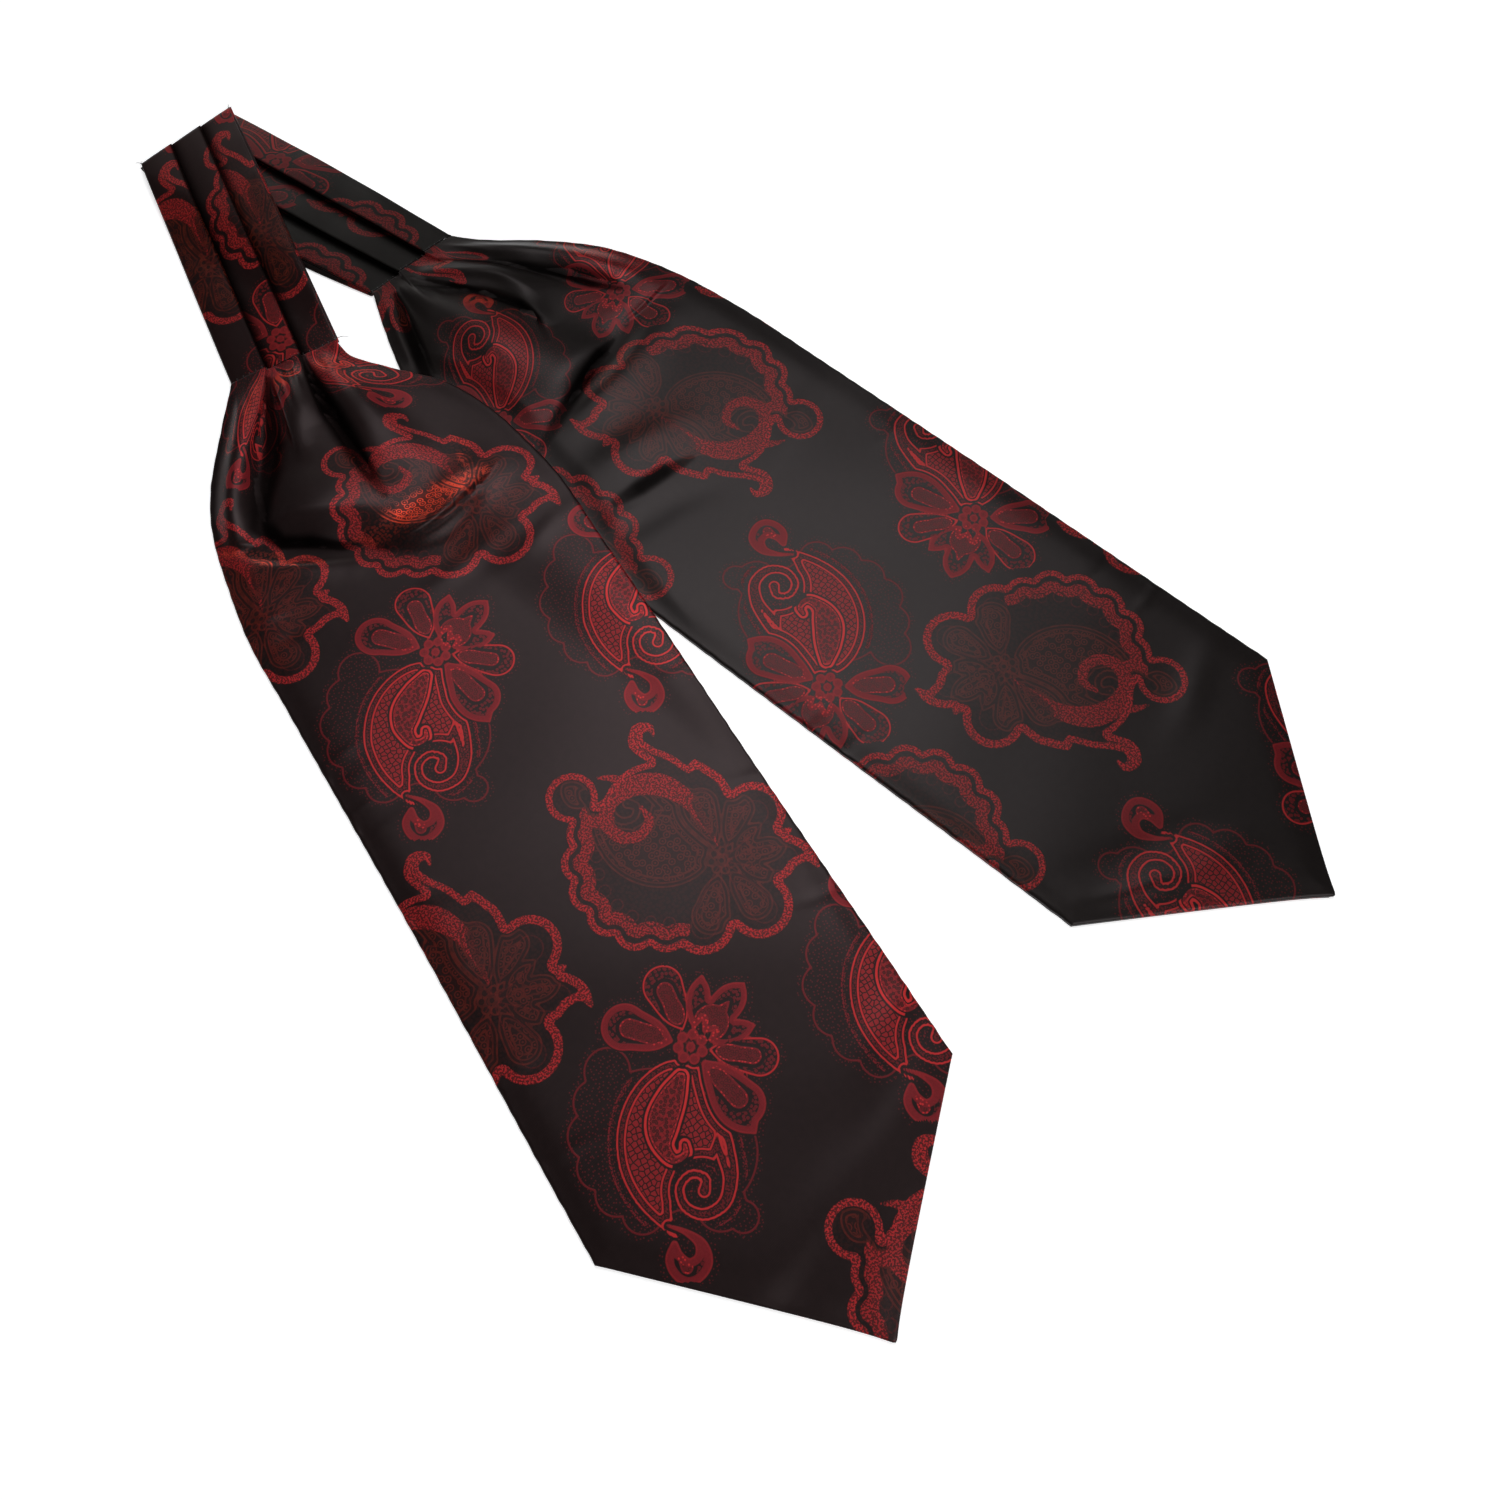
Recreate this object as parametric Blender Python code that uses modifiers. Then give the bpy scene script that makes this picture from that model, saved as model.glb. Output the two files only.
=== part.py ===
"""A silk day cravat laid flat, folded over at its centre back.

Two wide pointed blades, each a front and a back panel of the same silk, hang from a narrow
neckband of three knife pleats. The left half lies on top of the right half at the fold and
along the right blade's near border. Metres, +Z up, the surface it lies on is z = 0.

Each blade has its own flat frame: "along" runs from the point of its V towards the neck, and
"across" is positive on the right of that direction.
"""

import math

import bmesh
import bpy
import numpy as np

# Cloth
WALL = 0.0010  # one panel of cloth
SEAM_GAP = 0.0003  # between pieces
LAYER_GAP = 0.0003  # between cloth that lies on other cloth
V_ROUNDING = 0.0008  # radius left at a blade's point by turning it out
V_DRAWN_IN = 0.0030  # how far the V's sides are drawn in behind its point
V_SPAN = 0.005  # distance from the point over which they are

# Blades
BAND_WIDTH = 0.0500
FLARE_END = 0.110  # along the blade, where the V's rows have become straight
LOFT = 0.0007  # how far a plain stretch of a front panel stands off its back
EDGE_EASE = 0.007  # how fast a fold dies out at a blade's sewn edge
NECK_EASE = 0.009  # how fast a blade takes over from the band's pleats

# Where each blade lies: the V's point and the direction from it to the neck
LEFT_TIP = (0.0854, -0.2802)
LEFT_ANGLE = math.radians(122.39)
RIGHT_TIP = (0.2634, -0.1201)
RIGHT_ANGLE = math.radians(140.74)

# Slopes of a V's left and right sides: how far along they run for each step across
LEFT_V = (1.005, 0.925)
RIGHT_V = (0.950, 1.030)

# Centre-back fold, seen from above: its left and right corners
FOLD_LEFT = (-0.2606, 0.2432)
FOLD_RIGHT = (-0.2233, 0.2784)
FOLD_EDGE = 0.3  # share of each half's height that is left where the two meet at the fold
DRAPE_START = 0.002  # how far past the lower layer's edge an upper layer starts to come down
DRAPE = 0.028  # distance over which an upper layer comes down to the surface
FREE_AT = 0.012  # distance from the layer above at which cloth stands up to its full height
FRONT_DRAPE = 0.032  # the same for a front panel, which stands off its back on the way down

# A blade's sides, a row for each section from the straight stretch to the neck seam, in mm:
# along, lean (how much further along the left end of the section is), left, right
LEFT_SIDES = [
    (110.0, 0.0, -76.0, 74.2),
    (230.0, 0.0, -75.4, 73.4),
    (330.0, 0.0, -76.2, 73.2),
    (371.0, 1.0, -76.2, 72.8),
    (395.6, 6.0, -72.7, 69.2),
    (409.5, 8.0, -70.2, 66.6),
    (426.0, 8.0, -65.7, 61.3),
    (442.0, 8.0, -58.3, 53.2),
    (462.0, 8.5, -45.0, 35.8),
    (477.0, 5.5, -35.6, 24.0),
    (487.4, 4.3, -28.4, 22.0),
]
RIGHT_SIDES = [
    (110.0, 0.0, -75.0, 70.2),
    (257.0, 0.0, -75.5, 70.4),
    (313.0, 0.0, -75.5, 70.0),
    (360.0, 0.0, -75.4, 69.2),
    (394.0, 0.0, -74.6, 65.6),
    (412.0, 0.5, -72.4, 61.6),
    (432.0, 1.0, -67.0, 54.8),
    (457.0, 2.0, -54.8, 39.7),
    (480.0, 4.0, -41.8, 22.3),
    (493.7, 5.2, -33.0, 14.2),
]

# Largest folds of each front panel. A fold is a ridge (rise above 0) or a trough (rise below
# 0) along a smooth line. Reach is how far it spreads to either hand of someone who walks the
# line. A row for each point of the line, in mm: along, across, rise, reach left, reach right
LEFT_FOLDS = {
    "left flank": [
        (481, -21, 1.5, 5, 10),
        (464, -33, 3.5, 6, 13),
        (446, -44, 5.0, 6, 16),
        (428, -54, 5.0, 6, 16),
        (412, -60, 3.0, 7, 13),
    ],
    "valley left of the tongue": [
        (482, -14, -1.5, 4, 4),
        (465, -25, -4.0, 5, 4),
        (447, -37, -6.0, 7, 4),
        (430, -46, -7.0, 9, 5),
        (414, -51, -5.0, 9, 6),
        (403, -47, -1.5, 8, 6),
    ],
    "tongue": [
        (485, -3, 1.2, 6, 6),
        (472, -8, 3.2, 7, 7),
        (452, -13, 3.8, 9, 9),
        (432, -18, 1.5, 12, 12),
    ],
    "valley right of the tongue": [
        (482, 8, -1.5, 4, 4),
        (472, 5, -3.5, 4, 5),
        (456, 3, -5.5, 5, 6),
        (440, 3, -6.0, 6, 7),
        (424, 6, -5.0, 7, 8),
        (408, 9, -2.5, 8, 8),
        (396, 13, -0.5, 8, 8),
    ],
    "right flank": [
        (481, 14, 1.0, 8, 4),
        (460, 13, 3.5, 20, 6),
        (440, 15, 4.5, 30, 7),
        (420, 18, 4.0, 34, 9),
        (402, 22, 2.0, 34, 10),
    ],
    "pouch": [
        (422, -60, 2.0, 16, 8),
        (415, -42, 6.5, 28, 11),
        (408, -25, 9.0, 34, 12),
        (400, -8, 6.5, 30, 11),
        (392, 8, 3.0, 20, 10),
    ],
    "crosswise crease": [
        (413, -74, -1.0, 5, 5),
        (409, -62, -2.5, 5, 5),
        (401, -50, -4.0, 6, 5),
        (390, -32, -5.0, 6, 5),
        (383, -16, -4.0, 6, 6),
        (376, -3, -1.5, 6, 7),
    ],
    "lip below the crease": [
        (406, -70, 0.5, 5, 8),
        (398, -56, 2.0, 5, 9),
        (386, -38, 2.2, 5, 9),
        (379, -22, 0.8, 5, 9),
    ],
    "bright ridge": [
        (386, -6, 1.5, 10, 8),
        (380, 8, 4.0, 12, 7),
        (376, 22, 5.0, 13, 7),
        (378, 36, 4.0, 14, 8),
        (383, 50, 1.5, 14, 10),
    ],
}
RIGHT_FOLDS = {
    "upper strip": [
        (489, 8, 0.8, 4, 4),
        (475, 19, 2.5, 7, 5),
        (443, 38, 3.5, 11, 6),
        (416, 50, 2.5, 12, 8),
        (398, 54, 0.5, 13, 10),
    ],
    "slit": [
        (489, 1, -1.0, 3, 3),
        (468, 15, -3.0, 3, 3),
        (449, 23, -3.2, 3, 3),
        (436, 29, -3.5, 3, 3),
        (424, 35, -4.0, 3, 3),
        (411, 42, -0.5, 4, 4),
    ],
    "middle strip": [
        (485, -7, 1.2, 5, 3),
        (470, 2, 3.5, 6, 4),
        (456, 10, 4.2, 8, 4),
        (440, 14, 3.2, 11, 6),
        (426, 15, 0.8, 12, 9),
    ],
    "step below the strip": [
        (484, -16, -1.0, 3, 3),
        (473, -11, -2.0, 3, 4),
        (456, -1, -2.5, 3, 4),
        (438, 4, -2.0, 3, 5),
        (426, 3, -0.3, 4, 6),
    ],
    "pouch": [
        (482, -20, 1.0, 6, 6),
        (456, -19, 4.5, 12, 10),
        (430, -18, 7.5, 20, 17),
        (408, -14, 5.0, 24, 22),
    ],
    "dark valley": [
        (491, -26, -1.5, 4, 4),
        (471, -36, -4.0, 6, 4),
        (446, -47, -3.5, 8, 6),
        (425, -56, -1.0, 9, 8),
    ],
    "near strip": [
        (492, -31, 0.8, 3, 4),
        (475, -40, 2.0, 4, 5),
        (457, -50, 1.8, 5, 6),
    ],
    "crosswise crease": [
        (393, 60, -0.5, 7, 5),
        (395, 28, -2.0, 7, 5),
        (390, 13, -3.0, 7, 5),
        (388, -11, -3.2, 7, 5),
        (386, -30, -1.0, 8, 6),
    ],
    "shelf past the crease": [
        (380, 44, 0.6, 9, 8),
        (377, 16, 2.0, 11, 8),
        (375, -10, 1.8, 12, 8),
        (376, -32, 0.3, 12, 8),
    ],
    "soft roll": [
        (352, -44, 0.5, 9, 12),
        (347, -22, 1.8, 9, 12),
        (338, 4, 0.6, 9, 12),
    ],
}

# Knife pleats of the neckband, from the side that lies on top: share of the width where the
# panel starts and ends, and its height in mm at its start and at its folded end
PLEATS = [
    (0.000, 0.335, 2.5, 3.8),
    (0.335, 0.665, 2.5, 3.4),
    (0.665, 1.000, 2.5, 2.4),
]
LIP_DEPTH = 0.0009  # how far a pleat's folded end hangs over the next panel
LIP_HEIGHT = 0.0008
INNER_FOLD = 0.0012  # how far the lowest pleat's inner fold shows past the band's edge
LEFT_BOWS = (0.0004, 0.0)  # how far each half's left and right edges stand out midway
RIGHT_BOWS = (0.0022, 0.0012)
PRESSED_LENGTH = 0.045  # how far from the fold the pleats are pressed
PLEATS_AT_FOLD = 0.45  # share of the pleats' steps that is left where the fold presses them
BAND_BASE = 0.0024  # height of the band under its pleats' steps

LEFT_GRID = (24, 7, 30)  # quads across, along the plain stretch and along the gathers
RIGHT_GRID = (22, 7, 24)
LEFT_BACK_GRID = (18, 12, 14)
RIGHT_BACK_GRID = (6, 5, 12)
V_BLENDS = (0.0, 0.3, 0.65)  # the V's rows, from its edge towards the first straight row
BAND_SECTIONS = 20
FOLD_SAMPLES = 24  # samples along a fold's line
GATHERS_START = 0.345  # along, where the finer rows begin


def place(tip, angle, along, across):
    """World x and y of a place in a blade's own frame."""
    x = tip[0] + along * math.cos(angle) + across * math.sin(angle)
    y = tip[1] + along * math.sin(angle) - across * math.cos(angle)
    return x, y


def smooth_columns(rows, at):
    """The columns of a table, in mm, read between its rows by a smooth curve, in metres."""
    table = np.array(rows) / 1000.0
    x, values = table[:, 0], table[:, 1:]
    slopes = np.gradient(values, x, axis=0)
    k = np.clip(np.searchsorted(x, at) - 1, 0, len(x) - 2)
    step = (x[k + 1] - x[k])[:, None]
    t = ((at - x[k]) / (x[k + 1] - x[k]))[:, None]
    start = (1 + 2 * t) * (1 - t) ** 2 * values[k] + t * (1 - t) ** 2 * step * slopes[k]
    end = t**2 * (3 - 2 * t) * values[k + 1] + t**2 * (t - 1) * step * slopes[k + 1]
    return start + end


def v_side(across, slopes):
    """Along of a blade's V at a place across it."""
    out = np.sqrt(across**2 + V_ROUNDING**2)
    slope = np.where(across < 0, slopes[0], slopes[1])
    return slope * out + V_DRAWN_IN * out / (out + V_SPAN)


def blade_grid(sides, slopes, columns, plain_rows, gather_rows):
    """Along and across of a blade's grid: rows from the V to the neck, columns left to right."""
    neck = sides[-1][0] / 1000.0
    share = np.linspace(0.0, 1.0, columns + 1)
    plain = np.linspace(FLARE_END, GATHERS_START, plain_rows, endpoint=False)
    stations = np.append(plain, np.linspace(GATHERS_START, neck, gather_rows + 1))
    lean, left, right = smooth_columns(sides, stations).T
    across = left[:, None] + share * (right - left)[:, None]
    along = stations[:, None] + (0.5 - share) * lean[:, None]
    # The V: its edge row first, then rows that straighten towards the first station.
    v_across = across[0]
    v_edge = v_side(v_across, slopes)
    blend = np.array(V_BLENDS)[:, None]
    v_rows = (1 - blend) * v_edge + blend * FLARE_END
    along = np.vstack([v_rows, along])
    across = np.vstack([np.repeat(v_across[None], len(V_BLENDS), axis=0), across])
    return along, across


def outline(grid):
    """The closed outline of a grid's border, as an array of points."""
    x, y = grid
    border = [(x[0], y[0]), (x[1:, -1], y[1:, -1])]
    border += [(x[-1, -2::-1], y[-1, -2::-1]), (x[-2:0:-1, 0], y[-2:0:-1, 0])]
    return np.vstack([np.column_stack(side) for side in border])


def distance_outside(corners, x, y):
    """How far each place is outside a closed outline, 0 within it."""
    start, end = corners, np.roll(corners, -1, axis=0)
    run = end - start
    px, py = x[..., None] - start[:, 0], y[..., None] - start[:, 1]
    t = np.clip((px * run[:, 0] + py * run[:, 1]) / (run**2).sum(axis=1), 0, 1)
    nearest = np.hypot(px - t * run[:, 0], py - t * run[:, 1]).min(axis=-1)
    crosses = (start[:, 1] > y[..., None]) != (end[:, 1] > y[..., None])
    rise = np.where(run[:, 1] == 0, 1.0, run[:, 1])
    hit = crosses & (px < py * run[:, 0] / rise)
    return np.where(hit.sum(axis=-1) % 2 == 1, 0.0, nearest)


def fold_rise(line, along, across):
    """Height that one fold adds: full on its line, less beside it and past its ends.

    Each of the line's samples has its own height and reach, and they are mixed by how near
    they are, so that the cloth stays smooth where the line bends.
    """
    rows = np.array(line, dtype=float) / 1000.0
    station = np.append(0.0, np.cumsum(np.hypot(*np.diff(rows[:, :2], axis=0).T)))
    samples = np.linspace(0.0, station[-1], FOLD_SAMPLES)
    points = smooth_columns(np.column_stack([station, rows]) * 1000.0, samples)
    runs = np.gradient(points[:, :2], axis=0)
    runs /= np.hypot(*runs.T)[:, None]
    total = np.zeros(along.shape)
    weights = np.full(along.shape, 1e-30)
    for (x, y, rise, left, right), (run_x, run_y) in zip(points, runs):
        away = np.hypot(along - x, across - y) + 1e-9
        rightward = ((across - y) * run_x - (along - x) * run_y) / away
        reach = (left + right) / 2 + rightward * (right - left) / 2
        near = np.exp(-((away / reach) ** 2))
        total += rise * near**6
        weights += near**5
    return total / weights


def soft_floor(height, softness=0.0006):
    """Height kept above 0 without a hard edge."""
    return 0.5 * (height + np.sqrt(height**2 + softness**2)) - 0.5 * softness


def pleat_top(share, pleats):
    """Height of the neckband's top at a share of its width, by its pleats."""
    height = np.zeros(share.shape)
    for start, end, low, high in pleats:
        here = (share >= start) & (share <= end)
        t = (share - start) / (end - start)
        height = np.where(here, (low + t * (high - low)) / 1000.0, height)
    return height


def puff(grid, folds, pleats):
    """How far a front panel stands off its back, by its folds and the band's pleats."""
    along, across = grid
    rise = sum(fold_rise(line, along, across) for line in folds.values())
    left_edge, right_edge = across[:, :1], across[:, -1:]
    edge = np.minimum(across - left_edge, right_edge - across)
    edge = np.minimum(edge, (along - along[0]) / math.sqrt(2))
    rise = soft_floor(rise + LOFT) * (1 - np.exp(-((edge / EDGE_EASE) ** 2)))
    to_neck = along[-1] - along
    share = np.linspace(0, 1, along.shape[1])
    neck = pleat_top(share, pleats) - (2 * WALL + LAYER_GAP)
    hold = np.exp(-((to_neck / NECK_EASE) ** 2))
    return rise * (1 - hold) + np.maximum(neck, 0) * hold


def sheet(name, x, y, z, material, collection):
    """A wall of cloth: an open grid at its underside, made solid upwards."""
    mesh = bpy.data.meshes.new(name)
    rows, columns = x.shape
    number = np.arange(rows * columns).reshape(rows, columns)
    quads = np.stack([number[:-1, :-1], number[:-1, 1:], number[1:, 1:], number[1:, :-1]], -1)
    points = np.stack([x, y, z], -1).reshape(-1, 3)
    mesh.from_pydata(points.tolist(), [], quads.reshape(-1, 4).tolist())
    mesh.materials.append(material)
    piece = bpy.data.objects.new(name, mesh)
    collection.objects.link(piece)
    face_up(mesh)
    solid = piece.modifiers.new("cloth", "SOLIDIFY")
    solid.thickness = WALL
    solid.offset = 1.0
    mesh.shade_smooth()


def face_up(mesh):
    """Turn an open grid's faces upwards."""
    shape = bmesh.new()
    shape.from_mesh(mesh)
    shape.normal_update()
    if sum(face.normal.z for face in shape.faces) < 0:
        bmesh.ops.reverse_faces(shape, faces=shape.faces[:])
    shape.to_mesh(mesh)
    shape.free()


def step_height(height, steps):
    """A height of the pleats' tops, in mm, with a share of its step over the band's base."""
    return BAND_BASE + steps * (height / 1000.0 - BAND_BASE)


def band_profile(steps, reverse):
    """One ring of the neckband: share of the width and height, round its section."""
    ring = []
    hang = LIP_DEPTH / BAND_WIDTH * steps
    for number, (start, end, low, high) in enumerate(PLEATS):
        foot = start if number == 0 else start - 0.5 * hang
        low, high = step_height(low, steps), step_height(high, steps)
        bulge = LIP_HEIGHT / 4 * steps
        ring += [(foot, low), ((foot + end) / 2, (low + high) / 2 + bulge), (end, high)]
        if number < len(PLEATS) - 1:
            lip = LIP_HEIGHT * steps
            ring += [(end + hang / 2, high - lip / 2), (end, high - lip)]
    inner = 1 + INNER_FOLD / BAND_WIDTH
    ring += [(1, 0.75 * ring[-1][1]), (inner, 0.65 * ring[-1][1])]
    ring += [(share, 0.0) for share in np.linspace(inner, 0, 7)]
    return [(1 - share, height) for share, height in ring[::-1]] if reverse else ring


def band(name, corners, bows, under, reverse, material, collection):
    """Half the neckband: rings from the neck seam to the centre-back fold, capped.

    corners holds the seam's left and right ends and the fold's left and right ends, and bows
    how far the left and right edges stand out between them. A half with an outline under it
    rests on that; the other half turns up to meet it at the fold.
    """
    seam, fold = np.array(corners[:2]), np.array(corners[2:])
    length = np.linalg.norm(fold.mean(axis=0) - seam.mean(axis=0))
    turn = BAND_BASE + LAYER_GAP
    from_fold = np.append(
        np.array([0.0, 0.12, 0.4, 0.75, 1.0]) * turn,
        np.linspace(3 * turn, length - SEAM_GAP, BAND_SECTIONS),
    )
    highest = max(row[3] for row in PLEATS)
    shape = bmesh.new()
    rings = []
    for distance in from_fold[::-1]:
        left, right = seam + (1 - distance / length) * (fold - seam)
        outwards = (right - left) / np.linalg.norm(right - left)
        bowed = 4 * (distance / length) * (1 - distance / length)
        left, right = left - bows[0] * bowed * outwards, right + bows[1] * bowed * outwards
        steps = PLEATS_AT_FOLD + (1 - PLEATS_AT_FOLD) * min(1.0, distance / PRESSED_LENGTH)
        bend = math.sqrt(max(0.0, 1 - (1 - min(distance / turn, 1.0)) ** 2))
        bend = FOLD_EDGE + (1 - FOLD_EDGE) * bend
        top = step_height(highest, steps)
        ring = []
        for share, height in band_profile(steps, reverse):
            x, y = left + share * (right - left)
            if under is None:
                height = top - (top - height) * bend
            else:
                height = height * bend + over(under, x, y, top + LAYER_GAP)
            ring.append(shape.verts.new((x, y, height)))
        rings.append(ring)
    for one, other in zip(rings[:-1], rings[1:]):
        for k in range(len(one)):
            n = (k + 1) % len(one)
            shape.faces.new((one[k], one[n], other[n], other[k]))
    shape.faces.new(rings[0])
    shape.faces.new(rings[-1][::-1])
    bmesh.ops.recalc_face_normals(shape, faces=shape.faces[:])
    mesh = bpy.data.meshes.new(name)
    shape.to_mesh(mesh)
    shape.free()
    mesh.materials.append(material)
    collection.objects.link(bpy.data.objects.new(name, mesh))


def over(corners, x, y, height, drape=DRAPE):
    """Height at which cloth rests on what lies under it, easing down to the surface."""
    away = distance_outside(corners, np.asarray(x, dtype=float), np.asarray(y, dtype=float))
    t = np.clip((away - DRAPE_START) / drape, 0, 1)
    return height * (1 - t * t * (3 - 2 * t))


def silk(name, colour):
    """Satin-woven silk."""
    material = bpy.data.materials.new(name)
    material.use_nodes = True
    surface = material.node_tree.nodes["Principled BSDF"]
    surface.inputs["Base Color"].default_value = (*colour, 1.0)
    surface.inputs["Roughness"].default_value = 0.42
    surface.inputs["Metallic"].default_value = 0.0
    return material


def make_right_blade(covered, materials, collection):
    """The right blade, beneath, pressed flat where the left one covers it. Gives its outline."""
    back = blade_grid(RIGHT_SIDES, RIGHT_V, *RIGHT_BACK_GRID)
    x, y = place(RIGHT_TIP, RIGHT_ANGLE, *back)
    sheet("blade_right_back", x, y, np.zeros(x.shape), materials["back"], collection)
    grid = blade_grid(RIGHT_SIDES, RIGHT_V, *RIGHT_GRID)
    x, y = place(RIGHT_TIP, RIGHT_ANGLE, *grid)
    free = np.clip(distance_outside(covered, x, y) / FREE_AT, 0, 1)
    z = WALL + LAYER_GAP + puff(grid, RIGHT_FOLDS, mirrored(PLEATS)) * free * free * (3 - 2 * free)
    sheet("blade_right_front", x, y, z, materials["front"], collection)
    return outline((x, y))


def mirrored(pleats):
    """The same pleats counted from the other side of the band."""
    return [(1 - end, 1 - start, high, low) for start, end, low, high in pleats[::-1]]


def make_left_blade(under, materials, collection):
    """The left blade, on top: its right border rests on the right blade."""
    height = 2 * (WALL + LAYER_GAP)
    back = blade_grid(LEFT_SIDES, LEFT_V, *LEFT_BACK_GRID)
    x, y = place(LEFT_TIP, LEFT_ANGLE, *back)
    sheet("blade_left_back", x, y, over(under, x, y, height), materials["back"], collection)
    grid = blade_grid(LEFT_SIDES, LEFT_V, *LEFT_GRID)
    x, y = place(LEFT_TIP, LEFT_ANGLE, *grid)
    z = over(under, x, y, height, FRONT_DRAPE) + WALL + LAYER_GAP
    z += puff(grid, LEFT_FOLDS, PLEATS)
    sheet("blade_left_front", x, y, z, materials["front"], collection)


def seam_corners(sides, tip, angle):
    """The left and right ends of a blade's neck seam."""
    along, lean, left, right = (value / 1000.0 for value in sides[-1])
    return [
        place(tip, angle, along + lean / 2, left),
        place(tip, angle, along - lean / 2, right),
    ]


def make_neckband(materials, collection):
    """Both halves of the neckband, folded over at the centre back."""
    right_corners = seam_corners(RIGHT_SIDES, RIGHT_TIP, RIGHT_ANGLE) + [FOLD_LEFT, FOLD_RIGHT]
    left_corners = seam_corners(LEFT_SIDES, LEFT_TIP, LEFT_ANGLE) + [FOLD_LEFT, FOLD_RIGHT]
    under = np.array([right_corners[k] for k in (0, 1, 3, 2)])
    material = materials["band"]
    band("neckband_right", right_corners, RIGHT_BOWS, None, True, material, collection)
    band("neckband_left", left_corners, LEFT_BOWS, under, False, material, collection)


def main():
    for item in list(bpy.data.objects):
        bpy.data.objects.remove(item)
    collection = bpy.data.collections.new("Silk cravat")
    bpy.context.scene.collection.children.link(collection)
    materials = {
        "front": silk("silk front", (0.045, 0.012, 0.012)),
        "back": silk("silk back", (0.030, 0.012, 0.012)),
        "band": silk("silk neckband", (0.060, 0.014, 0.014)),
    }
    covered = outline(place(LEFT_TIP, LEFT_ANGLE, *blade_grid(LEFT_SIDES, LEFT_V, *LEFT_GRID)))
    under = make_right_blade(covered, materials, collection)
    make_left_blade(under, materials, collection)
    make_neckband(materials, collection)


main()
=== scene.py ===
"""Looks of the silk cravat: every cloth piece as a thin shell, its woven paisley and its sewing.

The shells follow the same named sizes as the solids. Lengths are metres where nothing else is
said, and tables are mm where they say so.
"""

import itertools
import math

import bmesh
import bpy
import numpy as np
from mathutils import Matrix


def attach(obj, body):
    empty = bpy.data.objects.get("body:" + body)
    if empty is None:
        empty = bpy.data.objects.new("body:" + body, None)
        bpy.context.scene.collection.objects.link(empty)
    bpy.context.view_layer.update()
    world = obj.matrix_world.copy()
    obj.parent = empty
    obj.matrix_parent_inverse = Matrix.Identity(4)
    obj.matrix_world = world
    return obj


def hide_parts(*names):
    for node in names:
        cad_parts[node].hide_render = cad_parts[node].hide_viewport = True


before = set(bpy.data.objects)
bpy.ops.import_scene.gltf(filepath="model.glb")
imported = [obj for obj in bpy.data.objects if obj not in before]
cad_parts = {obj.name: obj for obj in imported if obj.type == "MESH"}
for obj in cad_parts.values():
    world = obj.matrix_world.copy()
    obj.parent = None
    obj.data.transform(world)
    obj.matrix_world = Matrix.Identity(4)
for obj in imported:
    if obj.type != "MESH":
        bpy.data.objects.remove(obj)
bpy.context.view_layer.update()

# ---- Sizes of the cloth, as the solids have them ---------------------------------------------
WALL = 0.0010  # one panel of cloth in the solids
SEAM_GAP = 0.0003
LAYER_GAP = 0.0003  # between cloth that lies on other cloth
V_ROUNDING = 0.0008  # radius left at a blade's point by turning it out
V_DRAWN_IN = 0.0030  # how far the V's sides are drawn in behind its point
V_SPAN = 0.005  # distance from the point over which they are
BAND_WIDTH = 0.0500
FLARE_END = 0.110  # along the blade, where the V's rows have become straight
LOFT = 0.0007  # how far a plain stretch of a front panel stands off its back
EDGE_EASE = 0.007  # how fast a fold dies out at a blade's sewn edge
NECK_EASE = 0.009  # how fast a blade takes over from the band's pleats
# Where each blade lies: the V's point and the direction from it to the neck
LEFT_TIP = (0.0854, -0.2802)
LEFT_ANGLE = math.radians(122.39)
RIGHT_TIP = (0.2634, -0.1201)
RIGHT_ANGLE = math.radians(140.74)
# Slopes of a V's left and right sides: how far along they run for each step across
LEFT_V = (1.005, 0.925)
RIGHT_V = (0.950, 1.030)
# Centre-back fold, seen from above: its left and right corners
FOLD_LEFT = (-0.2606, 0.2432)
FOLD_RIGHT = (-0.2233, 0.2784)
FOLD_EDGE = 0.3  # share of each half's height that is left where the two meet at the fold
DRAPE_START = 0.002  # how far past the lower layer's edge an upper layer starts to come down
DRAPE = 0.028  # distance over which an upper layer comes down to the surface
FRONT_DRAPE = 0.032  # the same for a front panel
FREE_AT = 0.012  # distance from the layer above at which cloth stands up to its full height

# A blade's sides, a row for each section from the straight stretch to the neck seam, in mm:
# along, lean (how much further along the left end of the section is), left, right
LEFT_SIDES = [
    (110.0, 0.0, -76.0, 74.2),
    (230.0, 0.0, -75.4, 73.4),
    (330.0, 0.0, -76.2, 73.2),
    (371.0, 1.0, -76.2, 72.8),
    (395.6, 6.0, -72.7, 69.2),
    (409.5, 8.0, -70.2, 66.6),
    (426.0, 8.0, -65.7, 61.3),
    (442.0, 8.0, -58.3, 53.2),
    (462.0, 8.5, -45.0, 35.8),
    (477.0, 5.5, -35.6, 24.0),
    (487.4, 4.3, -28.4, 22.0),
]
RIGHT_SIDES = [
    (110.0, 0.0, -75.0, 70.2),
    (257.0, 0.0, -75.5, 70.4),
    (313.0, 0.0, -75.5, 70.0),
    (360.0, 0.0, -75.4, 69.2),
    (394.0, 0.0, -74.6, 65.6),
    (412.0, 0.5, -72.4, 61.6),
    (432.0, 1.0, -67.0, 54.8),
    (457.0, 2.0, -54.8, 39.7),
    (480.0, 4.0, -41.8, 22.3),
    (493.7, 5.2, -33.0, 14.2),
]

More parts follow.
